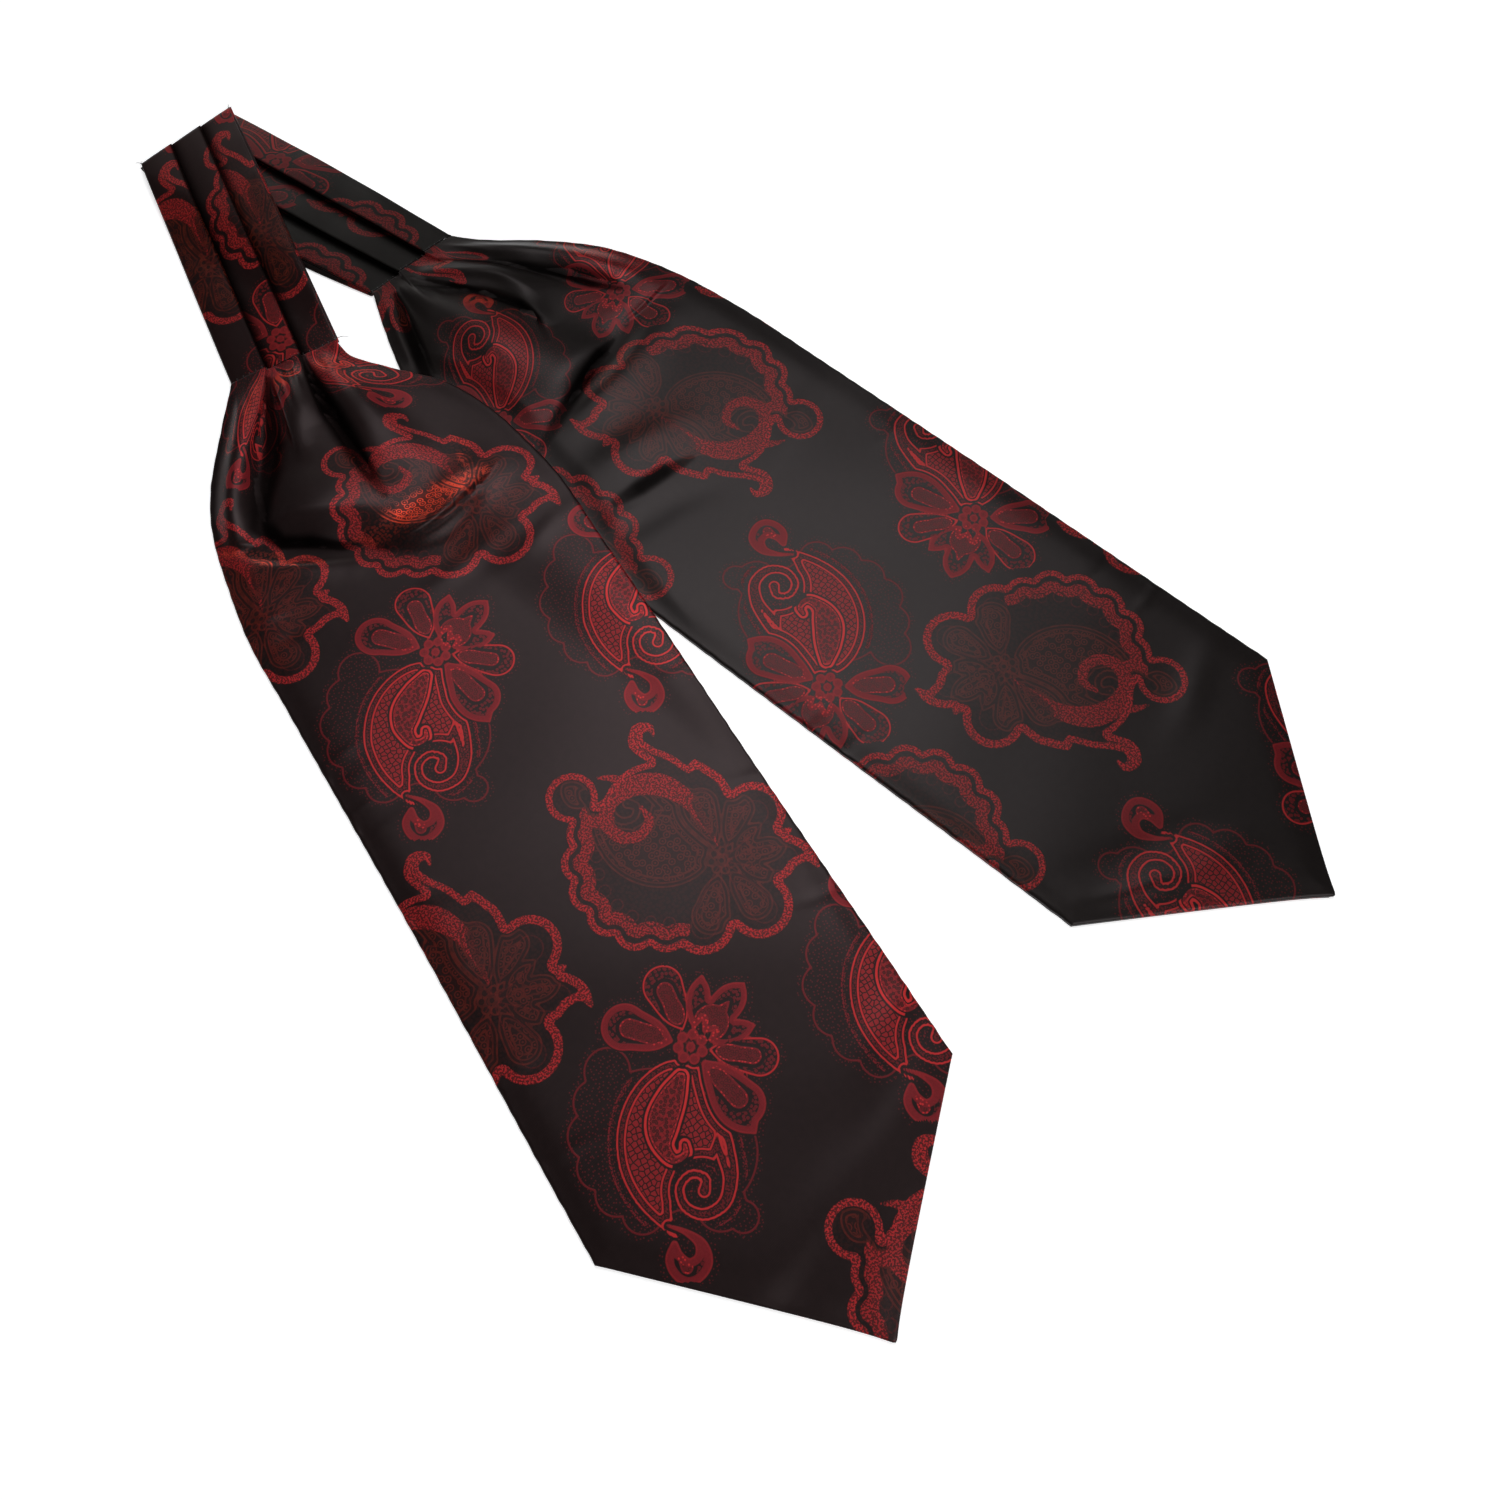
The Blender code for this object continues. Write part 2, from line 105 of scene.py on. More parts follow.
# Largest folds of each front panel. A fold is a ridge (rise above 0) or a trough (rise below
# 0) along a smooth line. Reach is how far it spreads to either hand of someone who walks the
# line. A point of the line is along, across, rise, reach left, reach right, in mm. Six of the
# left blade's folds lie a little otherwise than their solid.
LEFT_FOLDS = {
    "left flank": [
        (481, -22, 1.2, 5, 8), (464, -34, 2.8, 8, 9), (446, -46, 4.0, 9, 9),
        (428, -56, 4.2, 9, 9), (412, -62, 3.0, 8, 9),
    ],
    "valley left of the tongue": [
        (481, -13, -1.5, 3, 3), (468, -19, -4.0, 4, 4), (454, -26, -6.5, 5, 5),
        (437, -37, -7.5, 7, 5), (422, -45, -7.0, 8, 6), (407, -48, -6.0, 7, 7),
        (398, -38, -4.0, 6, 6),
    ],
    "tongue": [
        (485, -3, 1.5, 6, 5), (472, -6, 3.0, 6, 6), (455, -9, 3.2, 7, 7), (440, -14, 1.6, 9, 9),
    ],
    "valley right of the tongue": [
        (480, 6, -1.5, 3, 3), (466, 5, -4.0, 4, 4), (450, 4, -6.0, 4, 4), (436, 4, -6.0, 5, 4),
        (421, 4, -4.0, 6, 5), (406, 5, -1.5, 7, 6),
    ],
    "right flank": [
        (481, 13, 1.0, 5, 6), (464, 12, 3.0, 6, 16), (447, 15, 4.5, 8, 22),
        (430, 18, 4.5, 10, 26), (412, 20, 3.0, 12, 28),
    ],
    "pouch": [
        (422, -60, 2.0, 16, 8), (415, -42, 6.5, 28, 11), (408, -25, 9.0, 34, 12),
        (400, -8, 6.5, 30, 11), (392, 8, 3.0, 20, 10),
    ],
    "crosswise crease": [
        (413, -74, -1.0, 5, 5), (409, -62, -2.5, 5, 5), (401, -50, -4.0, 6, 5),
        (390, -32, -5.0, 6, 5), (383, -16, -4.0, 6, 6), (376, -3, -1.5, 6, 7),
    ],
    "lip below the crease": [
        (406, -70, 0.5, 5, 8), (398, -56, 2.0, 5, 9), (386, -38, 2.2, 5, 9),
        (379, -22, 0.8, 5, 9),
    ],
    "bright ridge": [
        (386, -14, 0.8, 10, 5), (376, 0, 3.0, 12, 5), (372, 15, 4.5, 13, 5),
        (377, 33, 4.0, 13, 6), (382, 47, 1.0, 13, 8),
    ],
}
RIGHT_FOLDS = {
    "upper strip": [
        (489, 8, 0.8, 4, 4), (475, 19, 2.5, 7, 5), (443, 38, 3.5, 11, 6), (416, 50, 2.5, 12, 8),
        (398, 54, 0.5, 13, 10),
    ],
    "slit": [
        (489, 1, -1.0, 3, 3), (468, 15, -3.0, 3, 3), (449, 23, -3.2, 3, 3), (436, 29, -3.5, 3, 3),
        (424, 35, -4.0, 3, 3), (411, 42, -0.5, 4, 4),
    ],
    "middle strip": [
        (485, -7, 1.2, 5, 3), (470, 2, 3.5, 6, 4), (456, 10, 4.2, 8, 4), (440, 14, 3.2, 11, 6),
        (426, 15, 0.8, 12, 9),
    ],
    "step below the strip": [
        (484, -16, -1.0, 3, 3), (473, -11, -2.0, 3, 4), (456, -1, -2.5, 3, 4),
        (438, 4, -2.0, 3, 5), (426, 3, -0.3, 4, 6),
    ],
    "pouch": [
        (482, -20, 1.0, 6, 6), (456, -19, 4.5, 12, 10), (430, -18, 7.5, 20, 17),
        (408, -14, 5.0, 24, 22),
    ],
    "dark valley": [
        (491, -26, -1.5, 4, 4), (471, -36, -4.0, 6, 4), (446, -47, -3.5, 8, 6),
        (425, -56, -1.0, 9, 8),
    ],
    "near strip": [
        (492, -31, 0.8, 3, 4), (475, -40, 2.0, 4, 5), (457, -50, 1.8, 5, 6),
    ],
    "crosswise crease": [
        (393, 60, -0.5, 7, 5), (395, 28, -2.0, 7, 5), (390, 13, -3.0, 7, 5),
        (388, -11, -3.2, 7, 5), (386, -30, -1.0, 8, 6),
    ],
    "shelf past the crease": [
        (380, 44, 0.6, 9, 8), (377, 16, 2.0, 11, 8), (375, -10, 1.8, 12, 8),
        (376, -32, 0.3, 12, 8),
    ],
    "soft roll": [
        (352, -44, 0.5, 9, 12), (347, -22, 1.8, 9, 12), (338, 4, 0.6, 9, 12),
    ],
}

INNER_FOLD = 0.0012  # how far the lowest pleat's inner fold shows past the band's edge
FOLD_SAGS = 1.7  # how many times further the turned half's inner fold slips out midway
LEFT_BOWS = (0.0004, 0.0)  # how far each edge of a half-band bows out midway
RIGHT_BOWS = (0.0022, 0.0012)
PRESSED_LENGTH = 0.045  # beside the centre-back fold, where the pleats are pressed flatter
PLEATS_AT_FOLD = 0.45  # what is left there of the height of their steps
BAND_BASE = 0.0024  # height of the band under its pleats' steps
STEP_BASE = 0.6 * BAND_BASE  # height above which pressing flattens them
BAND_TURN = BAND_BASE + LAYER_GAP  # how far from the fold the band bends down round it
FOLD_SAMPLES = 60  # samples along a fold's line: a tuck's has twice as many

# ---- Sizes that only the looks have ----------------------------------------------------------
CLOTH = 0.00045  # thickness of a shell
EDGE_ROLL = 0.0013  # how wide a sewn edge turns down
EDGE_DROP = 0.0008  # how far a front panel's edge turns down, and a back panel's
BACK_ROLL = 0.0003
SEAM_EASE = 0.004  # how far from a seam its pull on the cloth reaches
EDGE_HELD = 0.002  # how close to a sewn edge a small crease is stitched flat
DEEPEST_AT_EDGE = 0.0003  # how deep a crease may still dip beside it

# A blade's grid: rows of the V, of the plain stretch and of the gathers, and columns
BLADE_ROWS = (62, 240, 232)
BLADE_COLUMNS = 165
OUTLINE_ROWS = (20, 10, 30)  # the same for its outline alone
OUTLINE_COLUMNS = 20
GATHERS_START = 0.345  # along at which the rows of the gathers start
NEAR_V = [0.0, 0.002, 0.005, 0.009, 0.014]  # shares of the V's stretch with a row close to its edge
NEAR_EDGE = [0.0, 0.12, 0.36, 0.72, 1.2, 1.9]  # columns close to a sewn edge, in mm from it
COARSE = 6  # quads of a shell's face for each one of its hidden underside

# Small creases: along, across, heading in degrees from the along direction towards the right,
# length, half width, rise, in mm
LEFT_CREASES = [
    (300, -70, 78, 13, 2.6, 0.55),
    (293, -70, 84, 11, 2.2, -0.50),
    (276, -71, 80, 9, 2.0, 0.45),
    (268, -70, 86, 12, 2.4, -0.40),
    (232, -71, 82, 10, 2.6, 0.50),
    (224, -71, 80, 12, 2.4, -0.45),
    (196, -71, 84, 8, 2.2, 0.35),
    (150, -70, 76, 11, 3.0, 0.40),
    (118, -66, 88, 12, 2.6, -0.35),
    (262, 70, 96, 10, 2.6, 0.35),
    (205, 69, 100, 9, 2.4, -0.30),
    (148, 69, 94, 11, 2.6, 0.35),
    (96, 62, 60, 16, 6.0, 0.60),
    (74, 44, 55, 22, 7.0, -0.60),
    (52, 6, 62, 40, 10.0, 0.75),
    (36, -14, 64, 26, 8.0, -0.60),
    (345, 52, 68, 22, 5.0, 0.60),
    (352, 20, 74, 26, 5.0, 0.55),
    (340, -30, 98, 20, 5.0, 0.35),
    (360, -62, 96, 9, 2.6, -0.60),
    (372, -66, 92, 8, 2.4, 0.60),
]
RIGHT_CREASES = [
    (62, -46, 118, 22, 4.5, 0.90),
    (70, -30, 112, 26, 6.0, -0.70),
    (46, -20, 100, 20, 7.0, 0.50),
    (92, 40, 70, 22, 7.0, 0.55),
    (130, 66, 84, 12, 2.6, 0.35),
    (152, 66, 90, 10, 2.4, -0.35),
    (206, -71, 98, 11, 2.6, 0.40),
    (186, -71, 96, 10, 2.4, -0.35),
    (262, 66, 88, 12, 2.8, 0.35),
    (300, 40, 66, 20, 5.0, 0.40),
    (318, -42, 104, 24, 6.0, -0.70),
    (330, -58, 104, 14, 4.5, 0.50),
]

CREASE_BEND = 0.12
# Tucks, where cloth folds over its neighbour: it stands high at the line, drops sharply on the
# left hand of someone who walks it and dies away on the right. A point of the line is along,
# across, rise, reach to the right, width of the drop, in mm
LEFT_TUCKS = {
    "left flank's edge": [
        (484, -12, 0.4, 6, 2), (475, -18, 1.2, 8, 2), (462, -27, 1.6, 10, 2.4),
        (449, -36, 1.4, 10, 3), (438, -43, 0.4, 8, 3),
    ],
    "tongue's left edge": [
        (437, -19, 0.4, 7, 2.5), (445, -18, 2, 8, 2.5), (458, -16, 3, 8, 2.5),
        (470, -14, 2.6, 7, 2), (484, -12, 0.8, 6, 2),
    ],
    "tongue's right edge": [
        (486, 5, 0.4, 5, 1.5), (470, 2, 1.8, 7, 1.8), (456, 0, 1.8, 8, 2), (444, -1, 0.3, 8, 2),
    ],
    "shoulder": [
        (404, 5, 0.2, 10, 4), (417, 4, 2, 12, 5), (434, 3, 3.6, 15, 5), (451, 4, 3.8, 16, 4.5),
        (465, 4, 3, 13, 3.5), (481, 6, 0.8, 8, 2),
    ],
    "crosswise crease": [
        (383, -15, 0.4, 8, 3), (388, -25, 2.4, 10, 4), (394, -36, 3.2, 11, 4.5),
        (403, -48, 3.2, 10, 4), (409, -60, 1.8, 8, 2.5), (417, -71, 0.8, 7, 1.5),
    ],
    "bright ridge's crest": [
        (384, 50, 0.3, 8, 2), (379, 38, 2, 8, 2.2), (375, 25, 3, 8, 2.4), (373, 11, 2.6, 8, 2.6),
        (375, -3, 1.8, 7, 2.4), (382, -17, 0.6, 6, 2),
    ],
}

RIGHT_TUCKS = {
    "upper strip over the middle one": [
        (409, 43, 0.2, 6, 1.2), (417, 41, 1.8, 7, 1.6), (429, 36, 2.4, 8, 1.8),
        (442, 29, 1.4, 8, 1.8), (454, 22, 2, 9, 2.4), (468, 14, 1.8, 9, 2), (484, 3, 0.8, 6, 1.5),
    ],
    "middle strip over the pouch": [
        (419, 1, 0.3, 6, 2), (427, 4, 2.2, 7, 2.2), (438, 5, 2.6, 8, 2.4), (451, 2, 2.8, 8, 2.4),
        (463, -4, 2.4, 8, 2), (476, -10, 1.6, 6, 1.6), (488, -16, 0.6, 5, 1.4),
    ],
    "pouch's near face": [
        (427, -57, 0.4, 10, 4), (442, -49, 2.8, 13, 5), (457, -41, 3.8, 14, 5),
        (473, -33, 3.4, 12, 4.5), (484, -28, 2.2, 9, 3), (492, -25, 0.6, 7, 2),
    ],
    "shoulder crease": [
        (392, 20, 0.2, 10, 1.5), (390, 11, 1.5, 12, 2), (389, -1, 2.4, 13, 2.4),
        (387, -13, 2.4, 12, 2.6), (383, -29, 0.5, 12, 3),
    ],
    "thin crease": [
        (393, 61, 0.2, 9, 1.8), (393, 52, 1.4, 11, 1.9), (393, 38, 1.6, 12, 2),
        (394, 28, 1.2, 11, 2), (390, 18, 0.2, 10, 2),
    ],
}
TUCK_SPAN = 0.09  # how far from its line's middle a tuck is worked out
TUCK_END = 0.004  # how far past its line's ends it dies away
LEAST_DROP = 0.0012  # the narrowest that its drop may be
HIGHLIGHT_HEADING = 115.0  # slopes that face this way, towards the back softbox, are painted with highlight, from x, in degrees
HIGHLIGHT_FROM, HIGHLIGHT_FULL = 0.15, 0.42  # fall of the slope at which it starts and is at its full
FOLD_SHADE_DEPTH = 0.0030  # painted shade: a fold's bottom this far below the cloth round it is painted at its darkest
FOLD_SHADE_MEAN = (12, 8)  # places of the grid to each side that the cloth round it takes in
CREASE_SHARPNESS = 1.35  # 2 is round, 1 is a sharp line: for troughs
# Fine gathers that run out from the neck seam: across at the seam and at their ends, length,
# rise and half width
LEFT_GATHERS = [
    (-25.0, -38.0, 34.0, 0.7, 2.0),
    (-21.0, -30.0, 26.0, -0.7, 1.6),
    (12.0, 22.0, 30.0, 0.6, 2.2),
    (16.0, 33.0, 42.0, -0.7, 2.4),
    (9.0, 12.0, 22.0, -0.6, 1.4),
    (-5.0, -11.0, 40.0, -0.5, 1.3),
    (0.0, -4.0, 30.0, 0.4, 1.2),
]
RIGHT_GATHERS = [
    (-28.0, -46.0, 30.0, 0.6, 1.8),
    (-22.0, -34.0, 44.0, -0.8, 2.4),
    (-17.0, -24.0, 36.0, 0.6, 2.2),
    (-12.0, -12.0, 30.0, -0.5, 1.6),
    (6.0, 22.0, 34.0, 0.5, 1.6),
    (11.0, 36.0, 44.0, -0.5, 2.0),
]
# Soft strokes of painted shade over gathered silk: along, across, half width in mm, how much.
# A stroke is at its full up to one share of its half width, and gone at the other
STROKE_FULL, STROKE_GONE = 0.4, 1.5
LEFT_PAINTED_SHADE = [
    [
        (483, -13, 1.2, 0.8), (471, -18, 2.8, 1), (460, -22, 4, 1), (448, -27, 5.6, 1),
        (436, -34, 6.4, 0.9), (424, -43, 5.2, 0.8), (414, -49, 4.8, 0.8), (402, -44, 3.2, 1),
        (395, -33, 2.8, 1), (387, -23, 2.4, 0.9), (382, -14, 1.6, 0.4),
    ],
    [
        (488, 5, 1.2, 0.7), (468, 4, 3.6, 1), (452, 3, 4.8, 1), (436, 3, 5.2, 1),
        (421, 3, 4.8, 1), (408, 3, 3.6, 0.9), (397, 4, 2, 0.4),
    ],
    [
        (483, -31, 1.6, 0.3), (470, -42, 4, 0.45), (453, -51, 4.8, 0.45), (435, -58, 4, 0.4),
        (421, -63, 2.4, 0.2),
    ],
]
RIGHT_PAINTED_SHADE = [
    [
        (485, 0, 0.8, 0.6), (470, 11, 1.2, 0.8), (454, 21, 1.6, 0.9), (436, 30, 2.4, 1),
        (421, 35, 2.4, 1), (408, 41, 1.6, 0.7),
    ],
    [
        (482, -18, 0.8, 0.5), (469, -7, 1.2, 0.8), (453, 0, 1.6, 0.9), (437, 4, 2, 0.9),
        (424, 3, 2, 0.8), (413, -3, 1.6, 0.4),
    ],
    [
        (392, 18, 1.2, 0.6), (391, 8, 2.8, 1), (388, -5, 3.6, 1), (385, -18, 3.6, 0.9),
        (381, -34, 3.2, 0.7), (378, -46, 2, 0.3),
    ],
    [
        (487, -27, 1.6, 0.8), (472, -36, 3.2, 1), (455, -45, 3.6, 1), (438, -54, 2.8, 0.8),
        (425, -59, 1.6, 0.4),
    ],
    [(323, -8, 1.6, 0.3), (328, -21, 3.6, 0.8), (331, -34, 3.6, 0.8), (334, -46, 2.4, 0.4)],
]
# The same for painted highlight, where the hidden weft is painted glowing
LEFT_PAINTED_HIGHLIGHTS = [
    [
        (386, -20, 1.6, 0.4), (383, -9, 4.8, 0.8), (383, 4, 6.8, 1), (384, 20, 6.8, 1),
        (384, 34, 5.2, 1), (386, 46, 2.8, 0.6),
    ],
    [(417, 48, 3.2, 0.3), (405, 44, 4.4, 0.55), (393, 42, 3.2, 0.3)],
    [(411, -67, 2, 0.7), (404, -58, 2.4, 0.9), (396, -46, 2.4, 0.9), (390, -34, 1.6, 0.6)],
    [(483, -17, 2.4, 0.5), (473, -25, 3.2, 0.6), (463, -32, 2.4, 0.4)],
]
# How the cloth was cut: its width, the height of a blade's V, and half a neckband's longer edge
# and middle line, from the neck seam to the centre-back fold
CUT_WIDTH = 0.150
V_CUT = 0.075
BAND_LENGTHS = {"left": (0.153, 0.146), "right": (0.140, 0.1395)}
# Loose ends of thread: at which corner, heading in degrees, length and lift in mm, curl in degrees
TAILS = [
    ("left", 150.0, 2.6, 0.8, 35.0),
    ("left", 118.0, 1.6, 0.4, -25.0),
    ("right", 75.0, 2.4, 0.9, 30.0),
    ("right", 48.0, 2.0, 0.5, -40.0),
    ("right", 110.0, 1.3, 0.3, 20.0),
    ("seam", 28.0, 6.5, 1.2, -24.0),
    ("seam", 60.0, 2.2, 0.6, 30.0),
]
TAIL_RADIUS = 0.00016
TAIL_HEIGHT = 0.0040  # of the fold's corners
TAIL_STEPS = 9
TAIL_SIDES = 6
# The stitches of the neck seams, by the names of their Geometry Nodes' inputs
STITCHES = {"Spacing": 0.0031, "Stitch Length": 0.0015, "Thread Radius": 0.00015, "Seed": 7}
# Points of the curve of one stitch: how far out and how high, in halves of its length
STITCH_ARCH = [
    ("Start", -1.0, -0.4),
    ("Start Handle", -0.5, 0.35),
    ("End Handle", 0.5, 0.35),
    ("End", 1.0, -0.4),
]
STITCH_TURNS = (0.0, 0.1, 0.22)  # how far a stitch may lean about its x, y and z, in radians
STITCH_RISE = 0.0002  # how far a stitch's line runs above the cloth
# Slow undulations of the cloth as it lies: wave length along and across, phase, rise, in mm
LEFT_WAVES = [
    (150, 340, 0.4, 0.55),
    (88, -170, 2.1, 0.28),
    (61, 120, 4.0, 0.14),
    (210, -95, 1.1, 0.22),
]
RIGHT_WAVES = [
    (170, -300, 1.2, 0.50),
    (96, 150, 3.3, 0.26),
    (57, -110, 0.7, 0.14),
    (230, 90, 5.0, 0.20),
]
WAVES_AT_EDGE = 0.25  # share of them that is left at a sewn edge
PUCKER = 0.00007  # how far a sewn edge gathers in and out along its stitches
PUCKER_LENGTHS = (0.0092, 0.0147, 0.0061)

# Where the figures of the weave lie: a flower's heart (along, across), then the step along the
# cloth and how far across it moves with each, then the step across
REPEAT_ALONG = 195.0
REPEAT_ACROSS = 102.6
REPEATS_ALONG = range(-4, 6)
REPEATS_ACROSS = range(-3, 4)
LEFT_BLOOM = (321.0, -12.0)
LEFT_SHADE = (181.0, 40.5)
LEFT_SKEW = -4.8
RIGHT_BLOOM = (209.0, -56.0)
RIGHT_SHADE = (353.0, 2.0)
RIGHT_SKEW = 4.8
EVEN_SQUEEZE = 0.035  # how much of a row's hidden cloth plain cloth takes up, against a fold
# Where the blades' pleats swallow cloth below the neck seam: along and across, share of it
LEFT_SWALLOWS = [
    ([(400, -45), (422, -45), (438, -42), (449, -36), (462, -27), (475, -18), (487, -11)], 1.0),
    ([(400, 5), (417, 4), (434, 3), (451, 4), (465, 4), (487, 6)], 1.0),
]
RIGHT_SWALLOWS = [
    ([(400, 44), (417, 41), (429, 36), (442, 29), (454, 22), (468, 14), (487, 2)], 1.0),
    ([(400, -2), (419, 1), (427, 4), (438, 5), (451, 2), (463, -4), (476, -10), (487, -15)], 0.9),
    ([(400, -62), (427, -57), (442, -49), (457, -41), (473, -33), (490, -25)], 0.6),
]
SWALLOW_WIDTH = 0.0024
# Where the gathers drag the cloth out of the straight: along and across on the flat cloth, how
# far about, by how much along and across, the turn in degrees, how many times it is crowded
RIGHT_DRAGS = [
    (412.0, -52.0, 50.0, -3.6, -3.6, 4.0, 1.08),
    (404.0, 51.0, 46.0, -11.0, 7.6, 0.0, 1.0),
]
GATHER_SQUEEZE = 17.0  # mm of cloth that the gathers swallow along the blade
SWALLOW_FROM = 0.340  # along at which they start to, and over how long a stretch
SWALLOW_SPAN = 0.147
NECK_CLOTH = 487.0  # along at which the neckband's cloth starts, in mm, without what is swallowed
BACK_SHIFT = 31.0  # how far across the cloth of a back panel lies off the front's, in mm

# Knife pleats as the silk folds, deeper than the solid's: share of the width where a panel starts
# and ends, its height at its start and at its lip, then how deep the cloth returns under the lip
PLEATS = [
    (0.000, 0.335, 2.2, 4.1),
    (0.335, 0.665, 1.0, 3.7),
    (0.665, 1.000, 0.9, 2.7),
]
PLEAT_RETURN = 0.0055
PLEAT_HOLLOW = 0.6  # below 1 a panel falls away steeply beside the lip it comes out from
PLEAT_CROWN = 0.00018  # how far a panel bulges between its foot and its lip
PLEAT_SAMPLES = np.linspace(0.1, 1.0, 20) ** 1.6  # shares of a panel's width, closer at its foot
LIP_TURNS = (30, 75, 115, 155)  # degrees round a lip
# Unevenness of the band: height, and waves along and across as radians a metre and a width
SWAYS = [(0.00012, 160.0, 5.0), (0.00010, 71.0, 9.0)]
SWAY_FULL_UP = 0.002  # the height and the distance from the fold at which it is at its full
SWAY_FULL_ALONG = 0.02
# Painted highlight laid evenly over the neckband, then the width of the painted shade in its grooves
# beside each lip
HIGHLIGHT_ON_BAND = 0.05
GROOVE_SHADE_WIDTH = 0.0040
GROOVE_SHADE_UNDER_LIP = 0.0006  # how far the painted shade of a groove reaches in under the lip
LIP_RADIUS = 0.00036
BAND_CLOTH = 0.00034
# Stations round the centre-back fold, as shares of its turn
TURN_STATIONS = [0, 0.05, 0.12, 0.25, 0.4, 0.6, 0.8, 1.0]
# The band's section where it turns under at the side that lies on top: across, height, and mm of
# cloth before the first panel's foot
FAR_EDGE = [
    (0.0012, 0.00017, 6.0),
    (0.0003, 0.00027, 4.0),
    (0.000102, 0.0008, 3.0),
    (0.000102, 0.0018, 1.5),
]
# The same at its other side, where the inner fold shows: how far past the band's edge, height,
# and mm of cloth after the last panel's lip
INNER_FOLD_ROWS = [
    (-0.0016, 0.00172, 2.0),
    (-0.0012, 0.00150, 3.0),
    (0.0002, 0.00138, 5.0),
    (INNER_FOLD - 0.0002, 0.00122, 6.5),
    (INNER_FOLD, 0.00092, 7.0),
    (INNER_FOLD - 0.0004, 0.00060, 7.6),
    (-0.0002, 0.00040, 9.0),
    (-0.0030, 0.00017, 12.0),
]
# Cloth across at the foot of each panel, in mm, from the side that lies on top
LEFT_PANEL_CLOTH = [-82.6, -28.0, 25.0]
RIGHT_PANEL_CLOTH = [33.0, 19.0, 33.0]


# ---- Woven pattern -------------------------------------------------------------------------
# Both figures are drawn upright round the heart of their flower, x to the right and y up, in
# mm. Each is built of strokes, and a stroke is a row for each point of its middle line: x, y,
# half its width.

# Petals of the bloom: heading in degrees from x, length, radius of the head, width of its rim
BLOOM_PETALS = [
    (116.0, 33.0, 7.8, 0.7),
    (164.0, 35.0, 8.8, 2.6),
    (-8.0, 33.5, 7.2, 0.8),
    (-46.0, 37.0, 8.4, 2.6),
]
PETAL_CUSP = 2.6  # how far the last one's head draws out to a point
# Lobes of its leaf: heading, length, half width
BLOOM_LEAF = [(82.0, 27.0, 4.6), (50.0, 31.0, 6.4), (19.0, 25.5, 4.4)]
LEAF_RIM = 2.2
PETALS_START = 7.6  # how far from the heart its petals begin
# The rosette at its heart: discs round one in the middle
ROSETTE = [(4.7, 30.0 + 51.4 * k, 2.05) for k in range(7)] + [(0.0, 0.0, 1.8)]
ROSETTE_RIM = 1.6
BLOOM_BODY = [
    (-1, -6, 2.2), (-8, -14, 8.4), (-13, -26, 12.4), (-15, -39, 11.0), (-13, -51, 7.2),
    (-9, -60, 3.4), (-4, -67, 0.7),
]
BLOOM_SIDE = [(1, -8, 3.0), (4, -18, 8.0), (4, -30, 9.0), (2, -38, 8.0)]
CURL_EYE = (4.6, -51.0, 11.2)  # x, y and radius of the open ground round the curl
BLOOM_CURL = [
    (4, -14, 3.6), (9.5, -27, 4.2), (13.4, -38, 3.8), (15.2, -47, 3.0), (12.8, -55.6, 2.6),
    (5.6, -59.2, 2.3), (-1.4, -56, 2.0), (-3, -49.6, 1.9), (1.2, -45.4, 1.8), (6.2, -47, 1.9),
    (5.8, -51.2, 2.5),
]
BLOOM_HEART = [
    (-3.5, -11, 1.8), (-7, -19, 4.6), (-10, -28, 5.2), (-9.4, -36, 2.6), (-5, -40.4, 1.5),
    (-1.2, -38, 1.1), (-1.6, -35, 0.7),
]
LEAF_HEART = (50.0, 22.0, 2.6)
BLOOM_COMMA = [
    (-7, -63, 0.6), (0, -65.5, 1.2), (5, -69.5, 2.2), (5.6, -75, 3.6), (0.6, -78.6, 4.6),
    (-4.2, -74.6, 3.6), (-4.6, -69.2, 1.3),
]
COMMA_RIM = 3.0
COMMA_HEART = [(0, -77, 2.2), (-2.5, -73.5, 1.0)]
# Scallops of the thin line that runs round it: x, y, radius
BLOOM_SCALLOPS = [
    (-31, -9, 8.5), (-35, -20, 8.0), (-36, -32, 8.5), (-32.5, -43, 8.0), (-25.5, -52, 8.0),
    (-16, -58.5, 7.5), (-14, -34, 26.0), (4, -38, 21.0), (12, -56, 9.0), (20, -60, 5.5),
]

# The shade: the same flower as a stippled outline. Discs: x, y, radius
SHADE_PETALS = [
    (-8, 25, 12.5), (13, 20.5, 12.5), (20, 1, 9.5), (15, -18, 13.0), (-7, -25, 12.5),
    (0, 0, 17.0),
]
SHADE_POINTS = [
    [(-8, 28, 11.0), (-10, 36, 5.5), (-11, 42, 0.7)],
    [(20, 2, 9.0), (28, 4, 6.0), (34, 3, 3.0), (38, -2, 0.7)],
    [(20, 8, 5.0), (27, 13, 0.8)],
]
SHADE_SCALLOPS = [
    (-21, -27.5, 9.0), (-33, -27.5, 8.5), (-43.5, -22, 8.5), (-51, -12.5, 8.5), (-54.5, -1, 8.5),
    (-53, 11, 8.5), (-28, 4, 29.0), (-26, 20, 21.5),
]
SHADE_LOBE = [(-60, 26, 10.5)]
SHADE_HOOK = [
    (-14, 35, 4.0), (-22, 41.5, 3.4), (-30, 45.5, 3.2), (-35, 50, 3.0), (-34, 55.6, 2.6),
    (-29.4, 56.4, 1.5), (-28, 53, 0.6),
]
